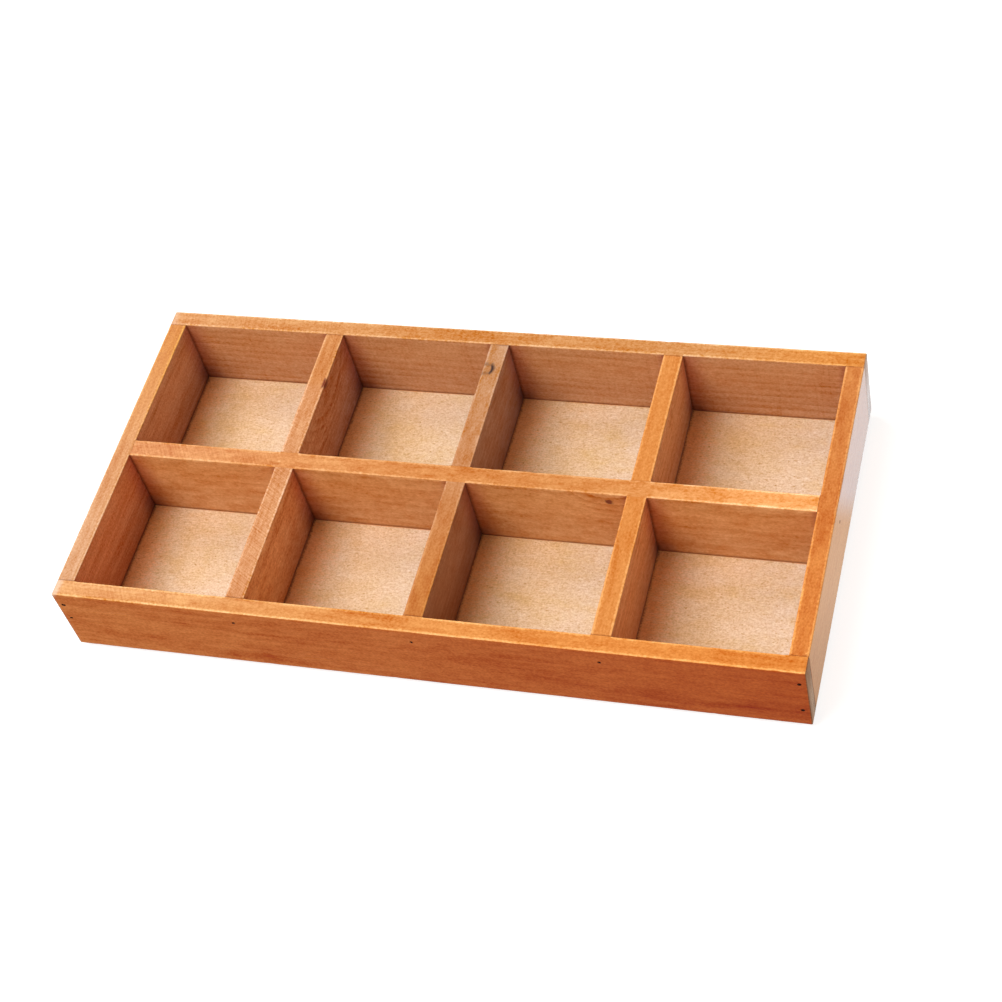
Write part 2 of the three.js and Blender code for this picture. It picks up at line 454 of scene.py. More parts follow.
def carve(piece, solids):
    """Cuts solids that don't touch each other out of a piece, whose mesh becomes the plain result. The
    cut faces get the holes' stain and painted shade."""
    mesh = bpy.data.meshes.new("cutter")
    mesh.from_pydata(solids[0], [], solids[1])
    mesh.materials.append(hole_stain_and_shade)
    cutter = show(mesh)
    modifier = piece.modifiers.new("carve", "BOOLEAN")
    modifier.object = cutter
    modifier.solver = "EXACT"
    modifier.material_mode = "TRANSFER"
    graph = bpy.context.evaluated_depsgraph_get()
    carved = bpy.data.meshes.new_from_object(piece.evaluated_get(graph))
    carved.name = piece.data.name
    piece.modifiers.remove(modifier)
    piece.data = carved
    bpy.data.objects.remove(cutter)


def in_crossing(point):
    """Whether a point lies where the dividers cross. The lap faces there keep the wood's tone."""
    long_low, long_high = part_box("long_divider")
    if not long_low.y - SLOT_CLEARANCE < point.y < long_high.y + SLOT_CLEARANCE:
        return False
    boxes = [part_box(divider) for divider in CROSS_DIVIDERS]
    return any(low.x - SLOT_CLEARANCE < point.x < high.x + SLOT_CLEARANCE for low, high in boxes)


for node, piece in [*slats.items(), ("bottom_panel", panel)]:
    slots = ([], [])
    mouths = ([], [])
    met = [brad for brad in BRADS if boxes_meet(brad, node)]
    for brad in met:
        add_brad_slot(slots, brad)
        add_brad_mouth(mouths, brad, random.Random(brad))
    if node in CROSS_DIVIDERS:
        add_lap(slots, node, True)
    if node == "long_divider":
        for divider in CROSS_DIVIDERS:
            add_lap(slots, divider, False)
    piece.data.materials.append(None)
    carve(piece, slots)
    carve(piece, mouths)
    for polygon in piece.data.polygons:
        if polygon.material_index == 1 and in_crossing(polygon.center):
            polygon.material_index = 0
    print(node, "slots", len(met), "faces", len(piece.data.polygons))

# %% [markdown]
# ## Brads
# All the brads of a strip are alike, so one Geometry Nodes tree makes them: a head, a shank and a
# chisel point are joined to one nail, which is set on a cloud of points. Each point carries the
# way its brad was driven and the way its head lies.

# %% Brad steel
# Drawn steel wire, browned by the stain that ran into the holes: dark, dull and a little uneven.
RUST_GRAIN = 0.4 * MM
RUST_TONES = ("#0d0806", "#241a14")

brad_steel, tree, shader = new_material("oxidised brad steel")
spot = put(tree, "ShaderNodeTexCoord").node.outputs["Object"]
grain = put(tree, "ShaderNodeTexNoise", {"Vector": spot, "Scale": 1 / RUST_GRAIN, "Detail": 2})
links = {"Factor": grain, "A": linear(RUST_TONES[0]), "B": linear(RUST_TONES[1])}
tree.links.new(put(tree, "ShaderNodeMix", links, data_type="RGBA"), shader.inputs["Base Color"])
shader.inputs["Metallic"].default_value = 0.85
shader.inputs["Roughness"].default_value = 0.55
print("material:", brad_steel.name)

# %% The brad tree
WELD = 0.001 * MM
brad_tree = bpy.data.node_groups.new("collated brads", "GeometryNodeTree")
brad_tree.interface.new_socket("Points", in_out="INPUT", socket_type="NodeSocketGeometry")
for name in ("Length", "Head width", "Head height", "Shank width", "Thickness", "Point length"):
    brad_tree.interface.new_socket(name, in_out="INPUT", socket_type="NodeSocketFloat")
brad_tree.interface.new_socket("Steel", in_out="INPUT", socket_type="NodeSocketMaterial")
brad_tree.interface.new_socket("Brads", in_out="OUTPUT", socket_type="NodeSocketGeometry")
given = put(brad_tree, "NodeGroupInput").node.outputs


def brad_block(width, top, foot):
    """A block of the brad between two depths below its head, as a geometry output."""
    height = put(brad_tree, "ShaderNodeMath", (foot, top), operation="SUBTRACT")
    middle = put(brad_tree, "ShaderNodeMath", (foot, top), operation="ADD")
    depth = put(brad_tree, "ShaderNodeMath", (middle, -0.5), operation="MULTIPLY")
    size = put(brad_tree, "ShaderNodeCombineXYZ", (width, given["Thickness"], height))
    block = put(brad_tree, "GeometryNodeMeshCube", {"Size": size})
    place = put(brad_tree, "ShaderNodeCombineXYZ", {2: depth})
    return put(brad_tree, "GeometryNodeTransform", {"Geometry": block, "Translation": place})


links = (given["Length"], given["Point length"])
taper = put(brad_tree, "ShaderNodeMath", links, operation="SUBTRACT")
head = brad_block(given["Head width"], 0.0, given["Head height"])
shank = brad_block(given["Shank width"], given["Head height"], taper)
point = brad_block(given["Shank width"], taper, given["Length"])
position = put(brad_tree, "GeometryNodeInputPosition")
_, y, z = put(brad_tree, "ShaderNodeSeparateXYZ", (position,)).node.outputs
edge = put(brad_tree, "ShaderNodeCombineXYZ", {1: y, 2: z})
half_way = put(brad_tree, "ShaderNodeMath", (taper, given["Length"]), operation="ADD")
half_way = put(brad_tree, "ShaderNodeMath", (half_way, -0.5), operation="MULTIPLY")
below = put(brad_tree, "FunctionNodeCompare", {"A": z, "B": half_way}, operation="LESS_THAN")
links = {"Geometry": point, "Selection": below, "Position": edge}
chisel = put(brad_tree, "GeometryNodeSetPosition", links)
chisel = put(brad_tree, "GeometryNodeMergeByDistance", {"Geometry": chisel, "Distance": WELD})
nail = put(brad_tree, "GeometryNodeMeshBoolean", operation="UNION", solver="EXACT")
for part in (head, shank, chisel):
    brad_tree.links.new(part, nail.node.inputs["Mesh 2"])
ways = {}
for name in ("outward", "across"):
    links = {"Name": name}
    ways[name] = put(brad_tree, "GeometryNodeInputNamedAttribute", links, data_type="FLOAT_VECTOR")
turn = put(brad_tree, "FunctionNodeAlignRotationToVector", {"Vector": ways["outward"]}, axis="Z")
links = {"Rotation": turn, "Vector": ways["across"]}
turn = put(brad_tree, "FunctionNodeAlignRotationToVector", links, axis="X", pivot_axis="Z")
links = {"Points": given["Points"], "Instance": nail, "Rotation": turn}
driven = put(brad_tree, "GeometryNodeInstanceOnPoints", links)
solid = put(brad_tree, "GeometryNodeRealizeInstances", {"Geometry": driven})
finished = put(brad_tree, "GeometryNodeSetMaterial", {"Geometry": solid, "Material": given["Steel"]})
put(brad_tree, "NodeGroupOutput", {"Brads": finished})
print("brad tree:", len(brad_tree.nodes), "nodes")


# %% Drive the brads
def drive_brads(name, nodes):
    """Sets one strip's brads in their slots, as one plain mesh."""
    cloud = bpy.data.meshes.new(name)
    cloud.from_pydata([places[node][0] for node in nodes], [], [])
    outward = cloud.attributes.new("outward", "FLOAT_VECTOR", "POINT")
    across = cloud.attributes.new("across", "FLOAT_VECTOR", "POINT")
    for i, node in enumerate(nodes):
        outward.data[i].vector = -places[node][1]
        across.data[i].vector = places[node][2]
    strip = show(cloud)
    thickness, head_width, length = places[nodes[0]][3]
    sizes = {
        "Length": length,
        "Head width": head_width,
        "Head height": HEAD_HEIGHT,
        "Shank width": SHANK_WIDTH,
        "Thickness": thickness,
        "Point length": POINT_LENGTH,
        "Steel": brad_steel,
    }
    modifier = strip.modifiers.new("brads", "NODES")
    modifier.node_group = brad_tree
    for socket in brad_tree.interface.items_tree:
        if socket.in_out == "INPUT" and socket.name in sizes:
            modifier[socket.identifier] = sizes[socket.name]
    graph = bpy.context.evaluated_depsgraph_get()
    plain = bpy.data.meshes.new_from_object(strip.evaluated_get(graph))
    strip.modifiers.remove(modifier)
    strip.data = plain
    print(name, len(nodes), "brads,", len(plain.polygons), "faces")
    return strip


PANEL_BRADS = [node for node in BRADS if node.startswith("panel")]
WALL_BRADS = [node for node in BRADS if node not in PANEL_BRADS]
wall_brads = drive_brads("wall_brads", WALL_BRADS)
panel_brads = drive_brads("panel_brads", PANEL_BRADS)

# %% [markdown]
# ## Stained pine
# The slats are plain-sawn pine, stained a warm brown and sealed with a thin satin varnish. Every
# slat came from another plank, so no two have the same rings. An image texture would repeat, so the
# figure is worked out in the solid: growth rings are tubes round a pith line somewhere beside the
# slat, and a slat shows wherever it happens to cut them. One node group holds that recipe, and each
# slat's material feeds it with its own numbers. All lengths in it are millimetres: u runs along
# the slat, v through its thickness and w up from its foot.

# %% The figure's inputs
FIGURE_NUMBERS = {
    "Pith across": -60.0,
    "Pith height": -40.0,
    "Pith drift": 0.02,
    "Ring width": 4.0,
    "Ring wobble": 6.0,
    "Ring strength": 0.3,
    "Fibre strength": 1.7,
    "Mottle strength": 1.8,
    "Patch strength": 1.3,
    "Speckle strength": 2.9,
    "Face contrast": 1.45,
    "Deep stain": 0.0,
    "Half thickness": 4.25,
    "Height": 40.0,
    "Length": 350.0,
    "Change": 175.0,
    "Change reach": 175.0,
    "Bay start": 0.0,
    "Bay pitch": 85.0,
    "Bay width": 76.0,
    "Start lag": 1.0,
    "End lag": 1.0,
    "Foot shade": 1.0,
    "Foot start": 1.0,
    "Rim seam": 0.0,
    "Gap": 1.0,
    "Face shade and seams": 1.0,
    "Back shade and seams": 1.0,
    "Checks": 0.0,
    "Saw marks": 0.0,
    "Saw marks end": 1000.0,
    "Saw slant": 0.6,
    "Wear and highlight": 0.8,
    "End wear": 0.0,
    "Rim depth": 0.35,
    "Arris drop": 5.0,
    "Satin": 0.32,
    "Knot radius": 0.0,
    "Knot hollow": 0.0,
    "Knot through": 0.0,
    "Knot flame": 0.0,
    "Seed": 0.0,
}
FIGURE_COLOURS = ("Face", "Face end", "Back", "Rim", "Rim end", "Knot tone")

figure = bpy.data.node_groups.new("stained pine figure", "ShaderNodeTree")
sockets = figure.interface
sockets.new_socket("Place", in_out="INPUT", socket_type="NodeSocketVector")
sockets.new_socket("Knot", in_out="INPUT", socket_type="NodeSocketVector")
for name, value in FIGURE_NUMBERS.items():
    sockets.new_socket(name, in_out="INPUT", socket_type="NodeSocketFloat").default_value = value
for name in FIGURE_COLOURS:
    sockets.new_socket(name, in_out="INPUT", socket_type="NodeSocketColor")
sockets.new_socket("Colour", in_out="OUTPUT", socket_type="NodeSocketColor")
sockets.new_socket("Roughness", in_out="OUTPUT", socket_type="NodeSocketFloat")
sockets.new_socket("Relief", in_out="OUTPUT", socket_type="NodeSocketFloat")
pine = put(figure, "NodeGroupInput").node.outputs
print("figure inputs:", len(pine) - 1)

# %% [markdown]
# Wood is uneven on every scale, so the group starts with eight noises, each drawn out along the
# slat as far as the real thing is: the swell of the rings, patches where the stain soaked in,
# mottling, fibres, hairline checks across the slat, the speckle of the pores, scuffs and dents. Real
# pores are finer than a pixel of the picture, so the speckle is drawn about as coarse as one.

# %% Noises of the wood
GRAINS = {
    "swell": {"size": (90, 24, 24), "detail": 2, "roughness": 0.45},
    "patch": {"size": (45, 14, 14), "detail": 3, "roughness": 0.55},
    "mottle": {"size": (9, 3.2, 3.2), "detail": 2, "roughness": 0.55},
    "fibre": {"size": (55, 1.7, 1.7), "detail": 3, "roughness": 0.55},
    "check": {"size": (1.1, 6, 45), "detail": 1, "roughness": 0.5},
    "speckle": {"size": (1.25, 0.85, 0.85), "detail": 2, "roughness": 0.6},
    "scuff": {"size": (6, 0.45, 0.45), "detail": 1, "roughness": 0.5},
    "dent": {"size": (2.4, 2, 2), "detail": 0, "roughness": 0.5},
}
SEED_STEP = 7.31

shift = put(figure, "ShaderNodeMath", (pine["Seed"], SEED_STEP), operation="MULTIPLY")
grains = {}
for name, grain in GRAINS.items():
    spot = put(figure, "ShaderNodeVectorMath", (pine["Place"], grain["size"]), operation="DIVIDE")
    links = {"Vector": spot, "W": shift, "Scale": 1}
    links.update({"Detail": grain["detail"], "Roughness": grain["roughness"]})
    raw = put(figure, "ShaderNodeTexNoise", links, noise_dimensions="4D")
    grains[name] = put(figure, "ShaderNodeMath", (raw, 0.5), operation="SUBTRACT")
print("noises:", *grains)

# %% [markdown]
# Then the rings. The distance from the pith line, made uneven by the swell, is divided by the ring
# width. Its fraction runs from 0 to 1 over a year: pale early wood darkens slowly into late wood,
# then stops short where the next spring began. A knot is a branch: it has a round tip at the given
# place and runs on towards the back of the slat. It pushes the rings aside, so its distance is
# worked out before the years are counted.

# %% Pith, knot and year
KNOT_STRETCH = (0.75, 1, 1)
KNOT_UNEVEN = {"mottle": 2.4, "speckle": 2.4}
KNOT_PUSH = 9
KNOT_REACH = 14
LEAST_KNOT = 0.001
LATE_WOOD = (0.15, 0.86)
NEXT_SPRING = (0.88, 1)

u, v, w = put(figure, "ShaderNodeSeparateXYZ", (pine["Place"],)).node.outputs
drift = put(figure, "ShaderNodeMath", (u, pine["Pith drift"], w), operation="MULTIPLY_ADD")
across = put(figure, "ShaderNodeMath", (v, pine["Pith across"]), operation="SUBTRACT")
above = put(figure, "ShaderNodeMath", (drift, pine["Pith height"]), operation="SUBTRACT")
from_pith = put(figure, "ShaderNodeCombineXYZ", (across, above))
radius = put(figure, "ShaderNodeVectorMath", (from_pith,), operation="LENGTH").node.outputs["Value"]
for name in ("swell", "patch"):
    links = (grains[name], pine["Ring wobble"], radius)
    radius = put(figure, "ShaderNodeMath", links, operation="MULTIPLY_ADD")

knot_way = put(figure, "ShaderNodeVectorMath", (pine["Place"], pine["Knot"]), operation="SUBTRACT")
knot_way = put(figure, "ShaderNodeVectorMath", (knot_way, KNOT_STRETCH), operation="MULTIPLY")
knot_u, knot_v, knot_w = put(figure, "ShaderNodeSeparateXYZ", (knot_way,)).node.outputs
knot_v = put(figure, "ShaderNodeMath", (knot_v, 0.0), operation="MINIMUM")
knot_way = put(figure, "ShaderNodeCombineXYZ", (knot_u, knot_v, knot_w))
knot_far = put(figure, "ShaderNodeVectorMath", (knot_way,), operation="LENGTH").node.outputs["Value"]
for name, reach in KNOT_UNEVEN.items():
    links = (grains[name], reach, knot_far)
    knot_far = put(figure, "ShaderNodeMath", links, operation="MULTIPLY_ADD")
knot_size = put(figure, "ShaderNodeMath", (pine["Knot radius"], LEAST_KNOT), operation="ADD")
knot_share = put(figure, "ShaderNodeMath", (knot_far, knot_size), operation="DIVIDE")
links = {"Value": knot_share, "From Min": 1, "From Max": KNOT_REACH, **FALLING}
knot_near = put(figure, "ShaderNodeMapRange", links, interpolation_type="SMOOTHERSTEP")
knot_near = put(figure, "ShaderNodeMath", (knot_near, pine["Knot flame"]), operation="MULTIPLY")
push = put(figure, "ShaderNodeMath", (pine["Knot radius"], KNOT_PUSH), operation="MULTIPLY")
push = put(figure, "ShaderNodeMath", (knot_near, push, radius), operation="MULTIPLY_ADD")
year = put(figure, "ShaderNodeMath", (push, pine["Ring width"]), operation="DIVIDE")
year = put(figure, "ShaderNodeMath", (year,), operation="FRACT")
links = {"Value": year, "From Min": LATE_WOOD[0], "From Max": LATE_WOOD[1]}
late = put(figure, "ShaderNodeMapRange", links, interpolation_type="SMOOTHSTEP")
links = {"Value": year, "From Min": NEXT_SPRING[0], "From Max": NEXT_SPRING[1], **FALLING}
spring = put(figure, "ShaderNodeMapRange", links, interpolation_type="SMOOTHSTEP")
ring = put(figure, "ShaderNodeMath", (late, spring), operation="MULTIPLY")
print("rings:", len(figure.nodes), "nodes so far")

# %% [markdown]
# The knot itself is dark in the middle, or only round its edge where its heart has kept the tone of
# the wood. Behind its tip it may be fainter.

# %% Knot
HEART_STRETCH = (1, 1.7, 1)
KNOT_EDGE = (0.6, 1.2)
HEART_EDGE = (0.25, 0.75)
KNOT_TIP = 0.8

links = {"Value": knot_share, "From Min": KNOT_EDGE[0], "From Max": KNOT_EDGE[1], **FALLING}
knot_body = put(figure, "ShaderNodeMapRange", links, interpolation_type="SMOOTHSTEP")
heart_way = put(figure, "ShaderNodeVectorMath", (knot_way, HEART_STRETCH), operation="MULTIPLY")
heart_far = put(figure, "ShaderNodeVectorMath", (heart_way,), operation="LENGTH").node.outputs["Value"]
heart_share = put(figure, "ShaderNodeMath", (heart_far, knot_size), operation="DIVIDE")
links = {"Value": heart_share, "From Min": HEART_EDGE[0], "From Max": HEART_EDGE[1], **FALLING}
knot_heart = put(figure, "ShaderNodeMapRange", links, interpolation_type="SMOOTHSTEP")
knot_heart = put(figure, "ShaderNodeMath", (knot_heart, pine["Knot hollow"]), operation="MULTIPLY")
knot_rest = put(figure, "ShaderNodeMath", (1.0, knot_heart), operation="SUBTRACT")
knot_core = put(figure, "ShaderNodeMath", (knot_body, knot_rest), operation="MULTIPLY")
links = {"Value": knot_v, "From Min": -KNOT_TIP, "From Max": 0}
links.update({"To Min": 1, "To Max": pine["Knot through"]})
knot_fade = put(figure, "ShaderNodeMapRange", links)
knot_core = put(figure, "ShaderNodeMath", (knot_core, knot_fade), operation="MULTIPLY")
print("knot:", len(figure.nodes), "nodes so far")

# %% [markdown]
# The rim is the sawn edge of the plank, sanded a little: it takes the stain in its own tone and keeps
# traces of the saw in slanting lines. Its arrises are rubbed to paler wood, and the pale band along
# them is also a painted highlight. The corners at the left end of the long walls are rubbed bare. Rim
# and arris are found from the place in the slat, so they need no marks on the mesh.

# %% Rim, arris and saw marks
ARRIS_WIDTH = (0.55, 1.25)
END_WIDTH = (0.8, 4.2)
RUB_AND_HIGHLIGHT_UNEVEN = {"patch": 1.0, "speckle": 0.7}
END_UNEVEN = 3
RIM_START = 0.3
BARE_LIMITS = {"scuff": (0.22, 0.34), "dent": (0.34, 0.4)}
SAW_STROKE = (0.75, 14, 14)
SAW_FADE = 30

to_top = put(figure, "ShaderNodeMath", (pine["Height"], w), operation="SUBTRACT")
rim_start = put(figure, "ShaderNodeMath", (pine["Rim depth"], RIM_START), operation="MULTIPLY")
links = {"Value": to_top, "From Min": rim_start, "From Max": pine["Rim depth"], **FALLING}
rim = put(figure, "ShaderNodeMapRange", links, interpolation_type="SMOOTHSTEP")
side = put(figure, "ShaderNodeMath", (v,), operation="ABSOLUTE")
to_side = put(figure, "ShaderNodeMath", (pine["Half thickness"], side), operation="SUBTRACT")
rub_and_highlight = put(figure, "ShaderNodeMath", (to_top, pine["Arris drop"], to_side), operation="MULTIPLY_ADD")
end_rub = put(figure, "ShaderNodeMath", (to_top, u), operation="ADD")
for name, reach in RUB_AND_HIGHLIGHT_UNEVEN.items():
    rub_and_highlight = put(figure, "ShaderNodeMath", (grains[name], reach, rub_and_highlight), operation="MULTIPLY_ADD")
    links = (grains[name], END_UNEVEN * reach, end_rub)
    end_rub = put(figure, "ShaderNodeMath", links, operation="MULTIPLY_ADD")
# The band along each arris is rubbed paler wood and a painted highlight.
links = {"Value": rub_and_highlight, "From Min": ARRIS_WIDTH[0], "From Max": ARRIS_WIDTH[1], **FALLING}
arris = put(figure, "ShaderNodeMapRange", links, interpolation_type="SMOOTHSTEP")
links = {"Value": end_rub, "From Min": END_WIDTH[0], "From Max": END_WIDTH[1]}
links.update({"To Min": pine["End wear"], "To Max": 0})
end_worn = put(figure, "ShaderNodeMapRange", links, interpolation_type="SMOOTHSTEP")
marks = []
for name, (start, stop) in BARE_LIMITS.items():
    links = {"Value": grains[name], "From Min": start, "From Max": stop, "To Max": rim}
    marks.append(put(figure, "ShaderNodeMapRange", links, interpolation_type="SMOOTHSTEP"))

slant = put(figure, "ShaderNodeMath", (v, pine["Saw slant"], u), operation="MULTIPLY_ADD")
slant = put(figure, "ShaderNodeCombineXYZ", (slant, v, w))
slant = put(figure, "ShaderNodeVectorMath", (slant, SAW_STROKE), operation="DIVIDE")
links = {"Vector": slant, "W": shift, "Scale": 1, "Detail": 1}
tooth = put(figure, "ShaderNodeTexNoise", links, noise_dimensions="4D")
tooth = put(figure, "ShaderNodeMath", (tooth, 0.5), operation="SUBTRACT")
fade = put(figure, "ShaderNodeMath", (pine["Saw marks end"], u), operation="SUBTRACT")
links = {"Value": fade, "From Max": SAW_FADE}
fade = put(figure, "ShaderNodeMapRange", links, interpolation_type="SMOOTHSTEP")
for strength in (fade, pine["Saw marks"], rim):
    tooth = put(figure, "ShaderNodeMath", (tooth, strength), operation="MULTIPLY")
print("rim:", len(figure.nodes), "nodes so far")

# %% [markdown]
# Where slats meet, the inner faces are darkened. The broad darkening at the foot of every inner face,
# in the upright corners of each bay and in the nook where the two meet is painted shade; the narrow
# dark line in the seams and joints is stain that dried there. The bays repeat along a slat, so one
# wrapped distance serves them all. A lag stretches the distance from one end of a bay, so that the
# painted shade in one corner is weaker than in the other, and the painted shade at the foot may grow
# from the start of a bay to its end.

# %% Painted shade and dark seams
FOOT_SHADE_REACH = 34
CORNER_SHADE_REACH = 13
SEAM_REACH = 1.8
NOOK_SHADE_REACH = 13
GAP_REACH = 1
JOINT_REACH = 0.8
SHADE_UNEVEN = 8
SEAM_UNEVEN = 2.5
GAP_UNEVEN = 5
MIDDLE = 0.5

bay = put(figure, "ShaderNodeMath", (u, pine["Bay start"]), operation="SUBTRACT")
bay = put(figure, "ShaderNodeMath", (bay, pine["Bay pitch"], 0.0), operation="WRAP")
rest = put(figure, "ShaderNodeMath", (pine["Bay width"], bay), operation="SUBTRACT")
joint = put(figure, "ShaderNodeMath", (bay, rest), operation="MINIMUM")
links = {"Value": bay, "From Max": pine["Bay width"], "To Min": pine["Foot start"], "To Max": 1}
foot_share = put(figure, "ShaderNodeMapRange", links)
bay = put(figure, "ShaderNodeMath", (bay, pine["Start lag"]), operation="MULTIPLY")
rest = put(figure, "ShaderNodeMath", (rest, pine["End lag"]), operation="MULTIPLY")
corner = put(figure, "ShaderNodeMath", (bay, rest), operation="MINIMUM")
behind = put(figure, "ShaderNodeMapRange", {"Value": v, "From Min": -MIDDLE, "From Max": MIDDLE})
links = {"Value": behind, "To Min": pine["Face shade and seams"], "To Max": pine["Back shade and seams"]}
inside = put(figure, "ShaderNodeMapRange", links)
below = put(figure, "ShaderNodeMath", (1.0, rim), operation="SUBTRACT")
inner = put(figure, "ShaderNodeMath", (inside, below), operation="MULTIPLY")
on_rim = put(figure, "ShaderNodeMath", (rim, pine["Rim seam"]), operation="MULTIPLY")
nearest = put(figure, "ShaderNodeMath", (corner, w), operation="MINIMUM")
nook = put(figure, "ShaderNodeCombineXYZ", (corner, w))
nook = put(figure, "ShaderNodeVectorMath", (nook,), operation="LENGTH").node.outputs["Value"]
far_end = put(figure, "ShaderNodeMath", (pine["Length"], u), operation="SUBTRACT")
to_end = put(figure, "ShaderNodeMath", (u, far_end), operation="MINIMUM")
shades_and_seams = {}
# Foot, corner and nook are painted shade; seam, gap and joint are dark joints.
for name, distance, reach, grain, uneven, where in (
    ("foot", w, FOOT_SHADE_REACH, "mottle", SHADE_UNEVEN, inner),
    ("corner", corner, CORNER_SHADE_REACH, "mottle", SHADE_UNEVEN, inner),
    ("nook", nook, NOOK_SHADE_REACH, "mottle", SHADE_UNEVEN, inner),
    ("seam", nearest, SEAM_REACH, "mottle", SEAM_UNEVEN, inner),
    ("gap", w, GAP_REACH, "speckle", GAP_UNEVEN, inner),
    ("joint", to_end, JOINT_REACH, "mottle", SEAM_UNEVEN, on_rim),
):
    far = put(figure, "ShaderNodeMath", (grains[grain], uneven, distance), operation="MULTIPLY_ADD")
    links = {"Value": far, "From Max": reach, **FALLING}
    shade_and_seam = put(figure, "ShaderNodeMapRange", links, interpolation_type="SMOOTHSTEP")
    shades_and_seams[name] = put(figure, "ShaderNodeMath", (shade_and_seam, where), operation="MULTIPLY")
for name, strength in (("foot", foot_share), ("foot", pine["Foot shade"]), ("gap", pine["Gap"])):
    shades_and_seams[name] = put(figure, "ShaderNodeMath", (shades_and_seams[name], strength), operation="MULTIPLY")
print("pools:", *shades_and_seams)

# %% [markdown]
# Nothing rubs an arris where another slat stands against it, so the wear, and the highlight painted
# with it, stop at the joints.

# %% Wear and painted highlight
joined = put(figure, "ShaderNodeMath", (joint, 0.0), operation="LESS_THAN")
joined = put(figure, "ShaderNodeMath", (joined, inside), operation="MULTIPLY")
free = put(figure, "ShaderNodeMath", (1.0, joined), operation="SUBTRACT")
arris = put(figure, "ShaderNodeMath", (arris, free), operation="MULTIPLY")
wear_and_highlight = arris
for mark in marks:
    wear_and_highlight = put(figure, "ShaderNodeMath", (wear_and_highlight, mark), operation="MAXIMUM")
wear_and_highlight = put(figure, "ShaderNodeMath", (wear_and_highlight, pine["Wear and highlight"]), operation="MULTIPLY")
print("wear:", len(figure.nodes), "nodes so far")

# %% [markdown]
# Last, the colours. Rings and noises add up to one darkness, which stands for how much stain the wood
# took: more of it dims blue most and red least. The share multiplies the tone of the face, the back or
# the rim, which may change along the slat, partly as painted light. Painted shade and dark seams dim
# the tone, wear with its painted highlight brightens it, and bare corners and knots cover it.

# %% Darkness
RING_MEAN = 0.4
RING_LIMITS = (-0.15, 0.15)
KNOT_CONTRAST = 3
KNOT_SHADE = 0.35
CHECK_LIMITS = (0.08, 0.2)
FULL_BANDS = 2
MEAN_DARKNESS = 0.5
DARKENERS = {
    "fibre": "Fibre strength",
    "mottle": "Mottle strength",
    "patch": "Patch strength",
    "speckle": "Speckle strength",
}

flame = put(figure, "ShaderNodeMath", (knot_near, below), operation="MULTIPLY")
contrast = put(figure, "ShaderNodeMath", (flame, KNOT_CONTRAST, 1.0), operation="MULTIPLY_ADD")
contrast = put(figure, "ShaderNodeMath", (contrast, pine["Ring strength"]), operation="MULTIPLY")
bands = put(figure, "ShaderNodeMath", (ring, RING_MEAN), operation="SUBTRACT")
links = {"Value": grains["patch"], "From Min": RING_LIMITS[0], "From Max": RING_LIMITS[1]}
links["To Max"] = FULL_BANDS
faint = put(figure, "ShaderNodeMapRange", links, interpolation_type="SMOOTHSTEP")
faint = put(figure, "ShaderNodeMath", (faint, flame), operation="MAXIMUM")
bands = put(figure, "ShaderNodeMath", (bands, faint), operation="MULTIPLY")
darkness = put(figure, "ShaderNodeMath", (bands, contrast), operation="MULTIPLY")
darkness = put(figure, "ShaderNodeMath", (flame, KNOT_SHADE, darkness), operation="MULTIPLY_ADD")
for name, strength in DARKENERS.items():
    links = (grains[name], pine[strength], darkness)
    darkness = put(figure, "ShaderNodeMath", links, operation="MULTIPLY_ADD")
links = {"Value": grains["check"], "From Min": CHECK_LIMITS[0], "From Max": CHECK_LIMITS[1]}
check = put(figure, "ShaderNodeMapRange", links, interpolation_type="SMOOTHSTEP")
links = (check, pine["Checks"], darkness)
darkness = put(figure, "ShaderNodeMath", links, operation="MULTIPLY_ADD")
gain = put(figure, "ShaderNodeMapRange", {"Value": rim, "To Min": pine["Face contrast"], "To Max": 1})
darkness = put(figure, "ShaderNodeMath", (darkness, gain, MEAN_DARKNESS), operation="MULTIPLY_ADD")
darkness = put(figure, "ShaderNodeMath", (tooth, darkness), operation="ADD")
print("darkness:", len(figure.nodes), "nodes so far")

# %% Colour, gloss and relief
FACE_SHARES = ((1.09, 1.21, 1.38, 1), (0.88, 0.76, 0.61, 1))
RIM_SHARES = ((1.09, 1.22, 1.48, 1), (0.88, 0.74, 0.52, 1))
# Shares of the painted shade (foot, corner, nook) and of the dark joints (seam, gap, joint).
SHADE_AND_SEAM_SHARES = {
    "foot": (0.6, 0.74, 1.1, 1),
    "corner": (0.76, 0.58, 0.64, 1),
    "nook": (0.62, 0.58, 0.6, 1),
    "seam": (0.62, 0.55, 0.52, 1),
    "gap": (0.45, 0.36, 0.32, 1),
    "joint": (0.62, 0.5, 0.42, 1),
}
# The brightening along the arrises is wear and a painted highlight; scuffs and dents are wear alone.
WEAR_AND_HIGHLIGHT_SHARE = (1.3, 1.68, 2.4, 1)
BARE_TONE = "#f5dcc6"
SATIN_SPREAD = 0.15
SAW_RELIEF = -0.6

deep = put(figure, "ShaderNodeMath", (rim, pine["Deep stain"]), operation="MAXIMUM")
limits = []
for on_face, on_rim in zip(FACE_SHARES, RIM_SHARES):
    links = {"Factor": deep, "A": on_face, "B": on_rim}
    limits.append(put(figure, "ShaderNodeMix", links, data_type="RGBA"))
links = {"Factor": darkness, "A": limits[0], "B": limits[1]}
share = put(figure, "ShaderNodeMix", links, data_type="RGBA", clamp_factor=False)
